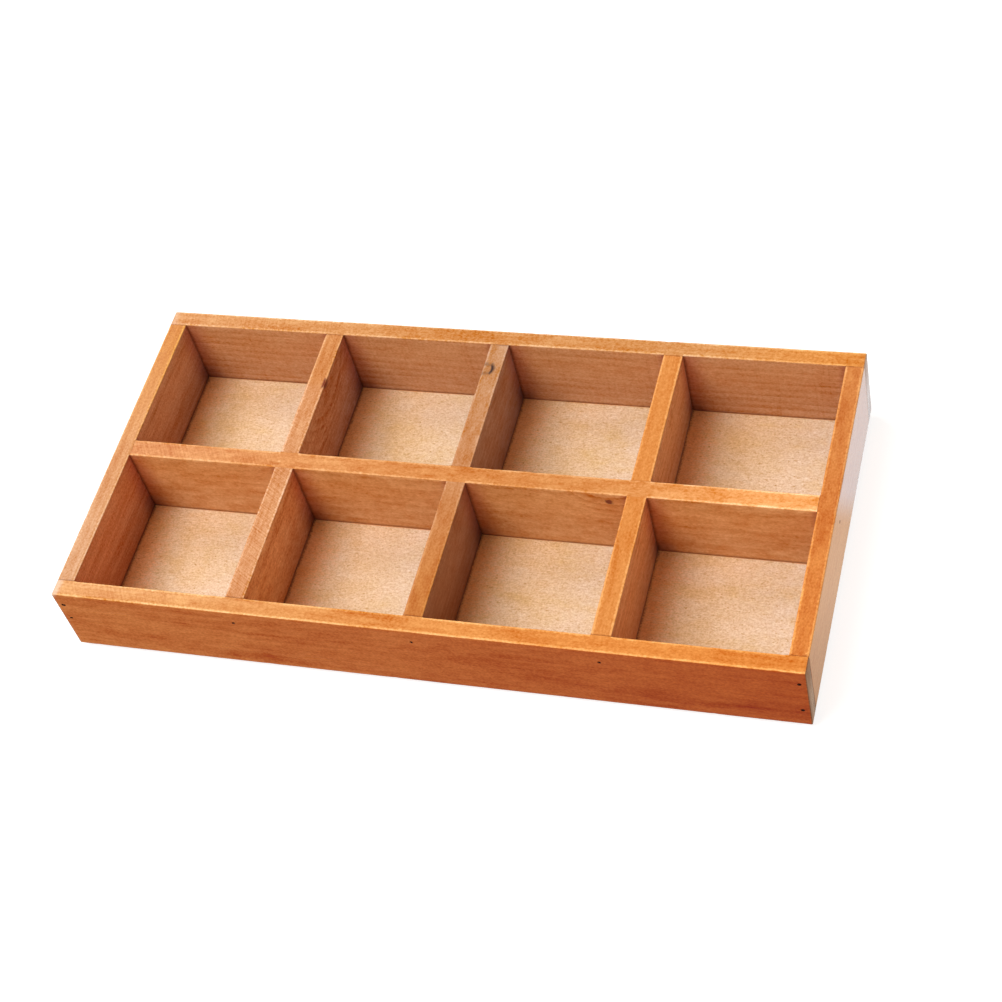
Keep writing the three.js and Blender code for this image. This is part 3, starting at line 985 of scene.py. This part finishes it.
# The rim's tone turns from Rim to Rim end round Change, and the face's from Face to Face end along the
# slat: partly painted light, following how the light and the sheen fall along it.
start = put(figure, "ShaderNodeMath", (pine["Change"], pine["Change reach"]), operation="SUBTRACT")
stop = put(figure, "ShaderNodeMath", (pine["Change"], pine["Change reach"]), operation="ADD")
links = {"Value": u, "From Min": start, "From Max": stop}
way = put(figure, "ShaderNodeMapRange", links, interpolation_type="SMOOTHSTEP")
along = put(figure, "ShaderNodeMath", (u, pine["Length"]), operation="DIVIDE")
links = {"Factor": way, "A": pine["Rim"], "B": pine["Rim end"]}
top = put(figure, "ShaderNodeMix", links, data_type="RGBA")
shade_and_seam_layers = [(shades_and_seams[name], shade_and_seam_share, "MULTIPLY") for name, shade_and_seam_share in SHADE_AND_SEAM_SHARES.items()]
tone = pine["Face"]
for factor, layer, blend in (
    (along, pine["Face end"], "MIX"),
    (behind, pine["Back"], "MIX"),
    (rim, top, "MIX"),
    (1.0, share, "MULTIPLY"),
    *shade_and_seam_layers,
    (wear_and_highlight, WEAR_AND_HIGHLIGHT_SHARE, "MULTIPLY"),
    (end_worn, linear(BARE_TONE), "MIX"),
    (knot_core, pine["Knot tone"], "MIX"),
):
    links = {"Factor": factor, "A": tone, "B": layer}
    tone = put(figure, "ShaderNodeMix", links, data_type="RGBA", blend_type=blend)
spread = put(figure, "ShaderNodeMath", (pine["Fibre strength"], SATIN_SPREAD), operation="MULTIPLY")
links = (grains["fibre"], spread, pine["Satin"])
gloss = put(figure, "ShaderNodeMath", links, operation="MULTIPLY_ADD")
links = (grains["fibre"], pine["Fibre strength"])
relief = put(figure, "ShaderNodeMath", links, operation="MULTIPLY")
relief = put(figure, "ShaderNodeMath", (tooth, SAW_RELIEF, relief), operation="MULTIPLY_ADD")
put(figure, "NodeGroupOutput", {"Colour": tone, "Roughness": gloss, "Relief": relief})
print("figure:", len(figure.nodes), "nodes")

# %% [markdown]
# ## The slats' own planks
# Each slat now gets its numbers. The tones were matched in the photograph's view: the front is redder
# than the rest, the middle cross divider is the darkest and greyest and has a brown-grey knot in its
# top, and the right end is the smoothest and shiniest. Where a tone changes from one end of a slat to
# the other, from Face to Face end or from Rim to Rim end, the change is partly painted light,
# following how the light and the sheen on the rims fall along the slat. Face is the side towards the
# front or the right, back the other one.

# %% Planks
PLANKS = {
    "front_wall": {
        "Face": "#e7853c", "Face end": "#d05c1d", "Back": "#cf9362", "Rim": "#da934d",
        "Rim end": "#e58b3c",
        "Pith across": 40, "Pith height": 62, "Pith drift": 0.08, "Ring width": 14,
        "Ring wobble": 12,
        "Patch strength": 2.2, "Speckle strength": 2.8, "Face contrast": 1.15,
        "Deep stain": 1, "Face shade and seams": 0, "Saw marks": 1.2, "Saw marks end": 90, "Wear and highlight": 1,
        "End wear": 0.6, "Seed": 1,
    },
    "back_wall": {
        "Face": "#e5a36e", "Back": "#d07a3c", "Rim": "#d89557", "Rim end": "#e59547",
        "Pith across": -20, "Pith height": 160, "Pith drift": 0.01, "Ring width": 4.5,
        "Ring wobble": 4, "Ring strength": 0.36,
        "Fibre strength": 2, "Mottle strength": 1.2, "Patch strength": 1, "Speckle strength": 3.3,
        "Face contrast": 0.85,
        "Back shade and seams": 0, "Checks": 0.25, "Change": 300, "Change reach": 45, "Saw marks": 1.2,
        "Saw marks end": 110, "Saw slant": 0.15, "End wear": 0.25, "Seed": 2,
    },
    "left_end_wall": {
        "Face": "#db7e48", "Face end": "#cd8a5d", "Back": "#d07a3c", "Rim": "#d19562",
        "Rim end": "#d38634",
        "Pith across": 80, "Pith height": -30, "Ring width": 3.5, "Ring strength": 0.15,
        "Mottle strength": 1, "Patch strength": 0.9,
        "Back shade and seams": 0, "Seed": 3,
    },
    "right_end_wall": {
        "Face": "#d98a4c", "Back": "#d2935f", "Rim": "#dd8033", "Rim end": "#d47e38",
        "Pith across": 40, "Pith height": -60, "Ring width": 5, "Ring strength": 0.05,
        "Fibre strength": 0.12, "Mottle strength": 2.4, "Patch strength": 1.8, "Face contrast": 0.7,
        "Face shade and seams": 0, "Rim depth": 0.6, "Arris drop": 0.9, "Satin": 0.16, "Varnish": 1.32,
        "Wear and highlight": 1, "Seed": 4,
    },
    "long_divider": {
        "Face": "#f3aa68", "Back": "#d2935f", "Rim": "#d68947", "Rim end": "#faab63",
        "Pith across": -45, "Pith height": -70, "Pith drift": -0.02, "Ring width": 6,
        "Ring wobble": 9, "Ring strength": 0.2,
        "Knot": (238.5, -4.6, 34.5), "Knot radius": 1.6, "Knot tone": "#8a4326", "Knot through": 1,
        "Knot flame": 1,
        "Fibre strength": 0.8, "Mottle strength": 2.8, "Face contrast": 0.95,
        "Change": 270, "Change reach": 60, "Saw marks": 1.8, "Saw marks end": 95, "Seed": 5,
    },
    "cross_divider_1": {
        "Face": "#ed934d", "Face end": "#c17e5a", "Back": "#cb8d5c", "Rim": "#d28d56",
        "Rim end": "#cf8648",
        "Pith across": -70, "Pith height": 10, "Ring width": 3.2, "Ring strength": 0.12,
        "Knot": (127.4, -2.9, 39), "Knot radius": 2.7, "Knot tone": "#80361f", "Knot flame": 0.5,
        "Change": 126, "Change reach": 3, "Saw marks": 2.4, "Saw marks end": 125, "Saw slant": -0.6,
        "Seed": 6,
    },
    "cross_divider_2": {
        "Face": "#a26036", "Face end": "#b67f5e", "Back": "#b88360", "Rim": "#c47531",
        "Rim end": "#ca9367",
        "Pith across": -35, "Pith height": -40, "Ring width": 3.4, "Ring strength": 0.2,
        "Knot": (143.1, 1.4, 40), "Knot radius": 3, "Knot tone": "#48302a", "Knot hollow": 0.9,
        "Knot through": 0.5,
        "Fibre strength": 0.4, "Mottle strength": 2.2, "Speckle strength": 2.4,
        "Face contrast": 1.25,
        "Wear and highlight": 0.4, "Seed": 7,
    },
    "cross_divider_3": {
        "Face": "#e18e53", "Face end": "#e39b63", "Back": "#d2935f", "Rim": "#e08e45",
        "Pith across": 60, "Pith height": -50, "Ring width": 4.2, "Ring strength": 0.2,
        "Fibre strength": 1, "Mottle strength": 0.7, "Patch strength": 0.5, "Speckle strength": 2.4,
        "Face contrast": 1.9,
        "Seed": 8,
    },
}
VARNISH_IOR = 1.24
RELIEF_DEPTH = 0.035 * MM
RELIEF_STRENGTH = 0.6
TO_MM = (1 / MM, 1 / MM, 1 / MM)


def bay_sizes(wall, divider, axis):
    """The pitch and the width of the bays along an axis, in millimetres."""
    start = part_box(wall)[1][axis]
    low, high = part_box(divider)
    return {"Bay pitch": (high[axis] - start) / MM, "Bay width": (low[axis] - start) / MM}


BAYS_ALONG_X = bay_sizes("left_end_wall", "cross_divider_1", 0)
BAYS_ALONG_Y = bay_sizes("front_wall", "long_divider", 1)
# How the painted shade and the dark seams lie in the bays along each axis.
SHADE_AND_SEAMS_ALONG_X = {
    "Start lag": 1, "End lag": 3, "Foot shade": 0.45, "Foot start": 1, "Rim seam": 0, "Gap": 0.1,
}
SHADE_AND_SEAMS_ALONG_Y = {
    "Start lag": 3, "End lag": 1, "Foot shade": 1, "Foot start": 0.3, "Rim seam": 0.8, "Gap": 1,
}


def pine_material(node, name, changes):
    """Stained, satin-varnished pine for one slat: warm, fine-lined, glossy only at a low angle."""
    material, tree, shader = new_material(name + " " + node.replace("_", " "))
    low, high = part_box(node)
    along = int(node not in ALONG_X)
    across = 1 - along
    turn = (0, 0, -math.pi / 2 * along)
    middle = (low[across] + high[across]) / 2
    start = (-low[along] / MM, (middle if along else -middle) / MM, -low.z / MM)
    spot = put(tree, "ShaderNodeTexCoord").node.outputs["Object"]
    links = {"Vector": spot, "Location": start, "Rotation": turn, "Scale": TO_MM}
    place = put(tree, "ShaderNodeMapping", links)
    bays = {**BAYS_ALONG_Y, **SHADE_AND_SEAMS_ALONG_Y} if along else {**BAYS_ALONG_X, **SHADE_AND_SEAMS_ALONG_X}
    settings = {**bays, **PLANKS[node], **changes}
    varnish = settings.pop("Varnish", VARNISH_IOR)
    for key, value in settings.items():
        if isinstance(value, str):
            settings[key] = linear(value)
    length = (high[along] - low[along]) / MM
    settings["Half thickness"] = (high[across] - low[across]) / 2 / MM
    settings["Height"] = (high.z - low.z) / MM
    settings["Length"] = length
    settings["Bay start"] = (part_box("left_end_wall")[1].x - low.x) / MM if along == 0 else 0
    settings.setdefault("Change", length / 2)
    settings.setdefault("Change reach", length / 2)
    settings.setdefault("Rim end", settings["Rim"])
    settings.setdefault("Face end", settings["Face"])
    colour = put(tree, "ShaderNodeGroup", {"Place": place, **settings}, node_tree=figure)
    out = colour.node.outputs
    links = {"Height": out["Relief"], "Distance": RELIEF_DEPTH, "Strength": RELIEF_STRENGTH}
    bump = put(tree, "ShaderNodeBump", links)
    tree.links.new(colour, shader.inputs["Base Color"])
    tree.links.new(out["Roughness"], shader.inputs["Roughness"])
    tree.links.new(bump, shader.inputs["Normal"])
    shader.inputs["IOR"].default_value = varnish
    return material


for node, piece in slats.items():
    piece.data.materials[0] = pine_material(node, "stained pine", {})
print("planks:", len(PLANKS))

# %% [markdown]
# The ends of the two long walls show the plank from its end. End grain drinks more stain and dries
# darker and greyer, the front wall's more than the back wall's. The rings show there as arcs, which
# the solid figure gives by itself.

# %% End grain
END_TONES = {"front_wall": "#935c36", "back_wall": "#c28d60"}
END_GRAIN = {
    "Wear and highlight": 0.2, "Ring strength": 0.7, "Satin": 0.16, "Varnish": 1.32,
    "Face shade and seams": 0, "Back shade and seams": 0,
}
END_DEPTH = 0.3 * MM

for node, end_tone in END_TONES.items():
    piece = slats[node]
    tones = {name: end_tone for name in ("Face", "Face end", "Back", "Rim", "Rim end")}
    piece.data.materials.append(pine_material(node, "pine end grain", {**tones, **END_GRAIN}))
    low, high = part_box(node)
    ends = [p for p in piece.data.polygons if min(p.center.x - low.x, high.x - p.center.x) < END_DEPTH]
    for polygon in ends:
        polygon.material_index = len(piece.data.materials) - 1
    print(node, "end grain faces:", len(ends))

# %% [markdown]
# ## Raw plywood
# The bottom is thin plywood with nothing on it: a rotary-peeled face veneer, pale and matt, with short
# fibre dashes and pores along its grain. Near the slats every bay is darker and browner, as painted
# shade with the warm light that the slats throw back, and it is warmer towards its left. The sawn edge
# of the sheet shows the darker core ply.

# %% Plywood
VENEER = 0.6
CORE_TONE = "#b98d62"
PLY_GRAINS = {
    "cloud": {"size": (34, 15, 15), "detail": 3, "roughness": 0.55},
    "blot": {"size": (9, 6, 6), "detail": 2, "roughness": 0.55},
    "fibre": {"size": (2.2, 0.8, 0.8), "detail": 3, "roughness": 0.62},
    "speckle": {"size": (0.9, 0.8, 0.8), "detail": 2, "roughness": 0.6},
    "pore": {"size": (1.9, 0.9, 0.9), "detail": 1, "roughness": 0.5},
}
PLY_STRENGTH = {"fibre": 2.2, "speckle": 2.9}
STAIN_PALE_SHARE = (1.02, 1.07, 1.18, 1)
STAIN_DARK_SHARE = (0.97, 0.92, 0.8, 1)
STAIN_STRENGTH = {"cloud": 3, "blot": 2.4}
PLY_MIDDLE = "#edd2b2"
PLY_PALE_SHARE = (1.08, 1.13, 1.2, 1)
PLY_DARK_SHARE = (0.87, 0.8, 0.7, 1)
PORE_LIMITS = (0.16, 0.24)
PORE_STRENGTH = 0.9
FIBRE_RELIEF = 0.08 * MM
FIBRE_RELIEF_STRENGTH = 0.7
# Painted shade with the warm light that the slats throw back, near the slats.
BOUNCE_SHADE_REACH = 20
BOUNCE_SHADE_UNEVEN = 22
BOUNCE_SHADE_SHARE = (0.97, 0.62, 0.38, 1)
# A wider warm tint from the left of each bay.
LEFT_TINT_REACH = (20, 72)
LEFT_TINT_UNEVEN = {"cloud": 50, "blot": 45}
LEFT_TINT_SHARE = (1.0, 0.88, 0.73, 1)
ACROSS_STRETCH = 5
FAR_LAG = 6
SEAM_WIDTH = 1.4
SEAM_BLOTS = {"blot": 2, "speckle": 4}
SEAM_SHARE = (0.45, 0.36, 0.3, 1)

low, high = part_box("bottom_panel")
sheet = (high.z - low.z) / MM
plywood, tree, shader = new_material("raw peeled plywood")
spot = put(tree, "ShaderNodeTexCoord").node.outputs["Object"]
place = put(tree, "ShaderNodeMapping", {"Vector": spot, "Scale": TO_MM})
ply = {}
for name, grain in PLY_GRAINS.items():
    spot = put(tree, "ShaderNodeVectorMath", (place, grain["size"]), operation="DIVIDE")
    links = {"Vector": spot, "Scale": 1, "Detail": grain["detail"], "Roughness": grain["roughness"]}
    raw = put(tree, "ShaderNodeTexNoise", links)
    ply[name] = put(tree, "ShaderNodeMath", (raw, 0.5), operation="SUBTRACT")
x, y, z = put(tree, "ShaderNodeSeparateXYZ", (place,)).node.outputs
darkness = MEAN_DARKNESS
for name, strength in PLY_STRENGTH.items():
    links = (ply[name], strength, darkness)
    darkness = put(tree, "ShaderNodeMath", links, operation="MULTIPLY_ADD")
links = {"Value": ply["pore"], "From Min": PORE_LIMITS[0], "From Max": PORE_LIMITS[1]}
pore = put(tree, "ShaderNodeMapRange", links, interpolation_type="SMOOTHSTEP")
darkness = put(tree, "ShaderNodeMath", (pore, PORE_STRENGTH, darkness), operation="MULTIPLY_ADD")
links = {"Factor": darkness, "A": PLY_PALE_SHARE, "B": PLY_DARK_SHARE}
share = put(tree, "ShaderNodeMix", links, data_type="RGBA", clamp_factor=False)
cloud = MEAN_DARKNESS
for name, strength in STAIN_STRENGTH.items():
    cloud = put(tree, "ShaderNodeMath", (ply[name], strength, cloud), operation="MULTIPLY_ADD")
links = {"Factor": cloud, "A": STAIN_PALE_SHARE, "B": STAIN_DARK_SHARE}
stain = put(tree, "ShaderNodeMix", links, data_type="RGBA", clamp_factor=False)
tone = linear(PLY_MIDDLE)
for layer in (share, stain):
    links = {"Factor": 1.0, "A": tone, "B": layer}
    tone = put(tree, "ShaderNodeMix", links, data_type="RGBA", blend_type="MULTIPLY")
core = put(tree, "ShaderNodeMath", (z, sheet / 2, sheet / 2 - VENEER), operation="COMPARE")
links = {"Factor": core, "A": tone, "B": linear(CORE_TONE)}
tone = put(tree, "ShaderNodeMix", links, data_type="RGBA")
print("veneer:", len(tree.nodes), "nodes so far")

# %% [markdown]
# The distance to the nearest slat comes from the place on the sheet, wrapped from bay to bay. The
# painted shade and warm bounce reach far from the slats at the sides of a bay and little from those at
# its front and back, most from the left and the front of a bay. A warm tint spreads further from the
# left, and stain dries darkest in the seam itself.

# %% Painted shade, tint and stained seams at the edges of the bays
bay_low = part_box("left_end_wall")[1].x / MM
bay_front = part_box("front_wall")[1].y / MM
distances = []
for place_on, first, bays in ((x, bay_low, BAYS_ALONG_X), (y, bay_front, BAYS_ALONG_Y)):
    bay = put(tree, "ShaderNodeMath", (place_on, first), operation="SUBTRACT")
    bay = put(tree, "ShaderNodeMath", (bay, bays["Bay pitch"], 0.0), operation="WRAP")
    rest = put(tree, "ShaderNodeMath", (bays["Bay width"], bay), operation="SUBTRACT")
    rest = put(tree, "ShaderNodeMath", (rest, FAR_LAG), operation="MULTIPLY")
    distances.append((bay, put(tree, "ShaderNodeMath", (bay, rest), operation="MINIMUM")))
(left_tint, along_gap), (_, across_gap) = distances
bounce_shade_gap = put(tree, "ShaderNodeMath", (across_gap, ACROSS_STRETCH), operation="MULTIPLY")
bounce_shade_gap = put(tree, "ShaderNodeMath", (along_gap, bounce_shade_gap), operation="MINIMUM")
for name in ("cloud", "fibre"):
    bounce_shade_gap = put(tree, "ShaderNodeMath", (ply[name], BOUNCE_SHADE_UNEVEN, bounce_shade_gap), operation="MULTIPLY_ADD")
links = {"Value": bounce_shade_gap, "From Max": BOUNCE_SHADE_REACH, **FALLING}
bounce_shade = put(tree, "ShaderNodeMapRange", links, interpolation_type="SMOOTHSTEP")
seam = put(tree, "ShaderNodeMath", (along_gap, across_gap), operation="MINIMUM")
for name, reach in SEAM_BLOTS.items():
    seam = put(tree, "ShaderNodeMath", (ply[name], reach, seam), operation="MULTIPLY_ADD")
links = {"Value": seam, "From Max": SEAM_WIDTH, **FALLING}
seam = put(tree, "ShaderNodeMapRange", links, interpolation_type="SMOOTHSTEP")
for name, reach in LEFT_TINT_UNEVEN.items():
    left_tint = put(tree, "ShaderNodeMath", (ply[name], reach, left_tint), operation="MULTIPLY_ADD")
links = {"Value": left_tint, "From Min": LEFT_TINT_REACH[0], "From Max": LEFT_TINT_REACH[1], **FALLING}
left_tint = put(tree, "ShaderNodeMapRange", links, interpolation_type="SMOOTHSTEP")
for factor, share in ((left_tint, LEFT_TINT_SHARE), (bounce_shade, BOUNCE_SHADE_SHARE), (seam, SEAM_SHARE)):
    links = {"Factor": factor, "A": tone, "B": share}
    tone = put(tree, "ShaderNodeMix", links, data_type="RGBA", blend_type="MULTIPLY")
tree.links.new(tone, shader.inputs["Base Color"])
shader.inputs["Roughness"].default_value = 0.75
links = {"Height": ply["fibre"], "Distance": FIBRE_RELIEF, "Strength": FIBRE_RELIEF_STRENGTH}
tree.links.new(put(tree, "ShaderNodeBump", links), shader.inputs["Normal"])
panel.data.materials[0] = plywood
print("material:", plywood.name, len(tree.nodes), "nodes")

# %% [markdown]
# ## Stage
# The photograph was cut out on pure white. The floor here is lit like the box, and a glow that only
# the camera sees lifts it to white, so that the box still throws a soft shadow and gets no extra light
# from below. A second glow that only mirror-like rays see paints the reflection in the varnish of the
# right end: beige like a table top near the front, and white like paper further back. The floor lies a
# hair below the plywood, so that the two don't share a plane.

# %% Floor
FLOOR_SIZE = 8
FLOOR_DROP = 0.1 * MM
FLOOR_ALBEDO = "#bcbcbc"
FLOOR_GLOW = 0.8
# Colours of the glow that only mirror-like rays see: a painted reflection in the varnish of the right
# end.
MIRROR_GLOW_NEAR = (0.7, 0.54, 0.4, 1)
MIRROR_GLOW_FAR = (1.15, 0.86, 0.62, 1)
MIRROR_GLOW_BEYOND = (1.24, 1.27, 1.32, 1)
MIRROR_GLOW_NEAR_Y = -75 * MM
MIRROR_GLOW_FAR_Y = -15 * MM
MIRROR_GLOW_EDGE_Y = 20 * MM
MIRROR_GLOW_BEYOND_Y = 42 * MM

floor_mesh = bpy.data.meshes.new("floor")
reach = FLOOR_SIZE / 2
corners = [(-reach, -reach), (reach, -reach), (reach, reach), (-reach, reach)]
floor_mesh.from_pydata([(x, y, -FLOOR_DROP) for x, y in corners], [], [(0, 1, 2, 3)])
floor = show(floor_mesh)
paper, tree, shader = new_material("white studio paper")
shader.inputs["Roughness"].default_value = 0.9
shader.inputs["Specular IOR Level"].default_value = 0
spot = put(tree, "ShaderNodeTexCoord").node.outputs["Object"]
_, y, _ = put(tree, "ShaderNodeSeparateXYZ", (spot,)).node.outputs
links = {"Value": y, "From Min": MIRROR_GLOW_NEAR_Y, "From Max": MIRROR_GLOW_FAR_Y}
near = put(tree, "ShaderNodeMapRange", links)
links = {"Factor": near, "A": MIRROR_GLOW_NEAR, "B": MIRROR_GLOW_FAR}
mirrored = put(tree, "ShaderNodeMix", links, data_type="RGBA")
links = {"Value": y, "From Min": MIRROR_GLOW_EDGE_Y, "From Max": MIRROR_GLOW_BEYOND_Y}
beyond = put(tree, "ShaderNodeMapRange", links, interpolation_type="SMOOTHSTEP")
links = {"Factor": beyond, "A": mirrored, "B": MIRROR_GLOW_BEYOND}
mirrored = put(tree, "ShaderNodeMix", links, data_type="RGBA")
rays = put(tree, "ShaderNodeLightPath").node.outputs
links = (rays["Is Glossy Ray"], rays["Is Transmission Ray"])
glossy = put(tree, "ShaderNodeMath", links, operation="MAXIMUM")
links = {"Factor": glossy, "A": linear(FLOOR_ALBEDO), "B": (0, 0, 0, 1)}
tree.links.new(put(tree, "ShaderNodeMix", links, data_type="RGBA"), shader.inputs["Base Color"])
links = {"Factor": glossy, "A": (FLOOR_GLOW, FLOOR_GLOW, FLOOR_GLOW, 1), "B": mirrored}
tree.links.new(put(tree, "ShaderNodeMix", links, data_type="RGBA"), shader.inputs["Emission Color"])
seen = put(tree, "ShaderNodeMath", (rays["Is Camera Ray"], glossy), operation="MAXIMUM")
tree.links.new(seen, shader.inputs["Emission Strength"])
floor_mesh.materials.append(paper)
print("material:", paper.name)

# %% [markdown]
# ## Light
# The shading inside the compartments tells where the light was: the left part of each floor is in
# shade and the far part is not, so one large soft light stands high at the front left. The rims at
# the left end also catch a sheen, from a weaker light behind the left end. A weak light from the
# right and a warm glow from all round fill the shade.

# %% Lights
WORLD_FILL = 0.3
FILL_TONE = (1, 0.9, 0.78, 1)
WHITE = (1, 1, 1, 1)
SOFTBOXES = {
    "key softbox": {"azimuth": 308, "elevation": 63, "distance": 2.6, "size": 1.7, "watts": 49},
    "sheen softbox": {"azimuth": 232, "elevation": 43, "distance": 1.5, "size": 0.45, "watts": 5},
    "fill softbox": {"azimuth": 80, "elevation": 24, "distance": 1.8, "size": 0.9, "watts": 5},
}


def soft_light(name, azimuth, elevation, distance, size, watts):
    """A round softbox that faces the box. Azimuth 0 is in front of it and 90 at its right."""
    lamp = bpy.data.objects.new(name, bpy.data.lights.new(name, "AREA"))
    lamp.data.shape = "DISK"
    lamp.data.size = size
    lamp.data.energy = watts
    turn, rise = math.radians(azimuth), math.radians(elevation)
    level = math.cos(rise)
    towards = Vector((level * math.sin(turn), -level * math.cos(turn), math.sin(rise)))
    lamp.location = towards * distance
    lamp.rotation_mode = "QUATERNION"
    lamp.rotation_quaternion = towards.to_track_quat("Z", "Y")
    bpy.context.scene.collection.objects.link(lamp)


for name, place in SOFTBOXES.items():
    soft_light(name, **place)
world = bpy.data.worlds.new("studio")
world.use_nodes = True
tree = world.node_tree
rays = put(tree, "ShaderNodeLightPath").node.outputs
links = (rays["Is Camera Ray"], rays["Is Glossy Ray"])
seen = put(tree, "ShaderNodeMath", links, operation="MAXIMUM")
seen = put(tree, "ShaderNodeMath", (seen, rays["Is Transmission Ray"]), operation="MAXIMUM")
strength = put(tree, "ShaderNodeMapRange", {"Value": seen, "To Min": WORLD_FILL, "To Max": 1})
background = tree.nodes["Background"]
links = {"Factor": seen, "A": FILL_TONE, "B": WHITE}
tree.links.new(put(tree, "ShaderNodeMix", links, data_type="RGBA"), background.inputs["Color"])
tree.links.new(strength, background.inputs["Strength"])
bpy.context.scene.world = world
bpy.context.scene.view_settings.view_transform = "Standard"
print("lights:", *SOFTBOXES)

# %% [markdown]
# ## Attaching the pieces
# Every piece rides on the one body of the frame and takes the place of the nodes that it was drawn
# from, which are hidden.

# %% Finish
for node, piece in slats.items():
    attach(piece, "root")
    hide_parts(node)
for piece, nodes, slot in [
    (panel, ["bottom_panel"], "bare_plywood"),
    (wall_brads, WALL_BRADS, "brad_steel"),
    (panel_brads, PANEL_BRADS, "brad_steel"),
]:
    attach(piece, "root")
    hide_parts(*nodes)
print("pieces:", len(slats) + 3)
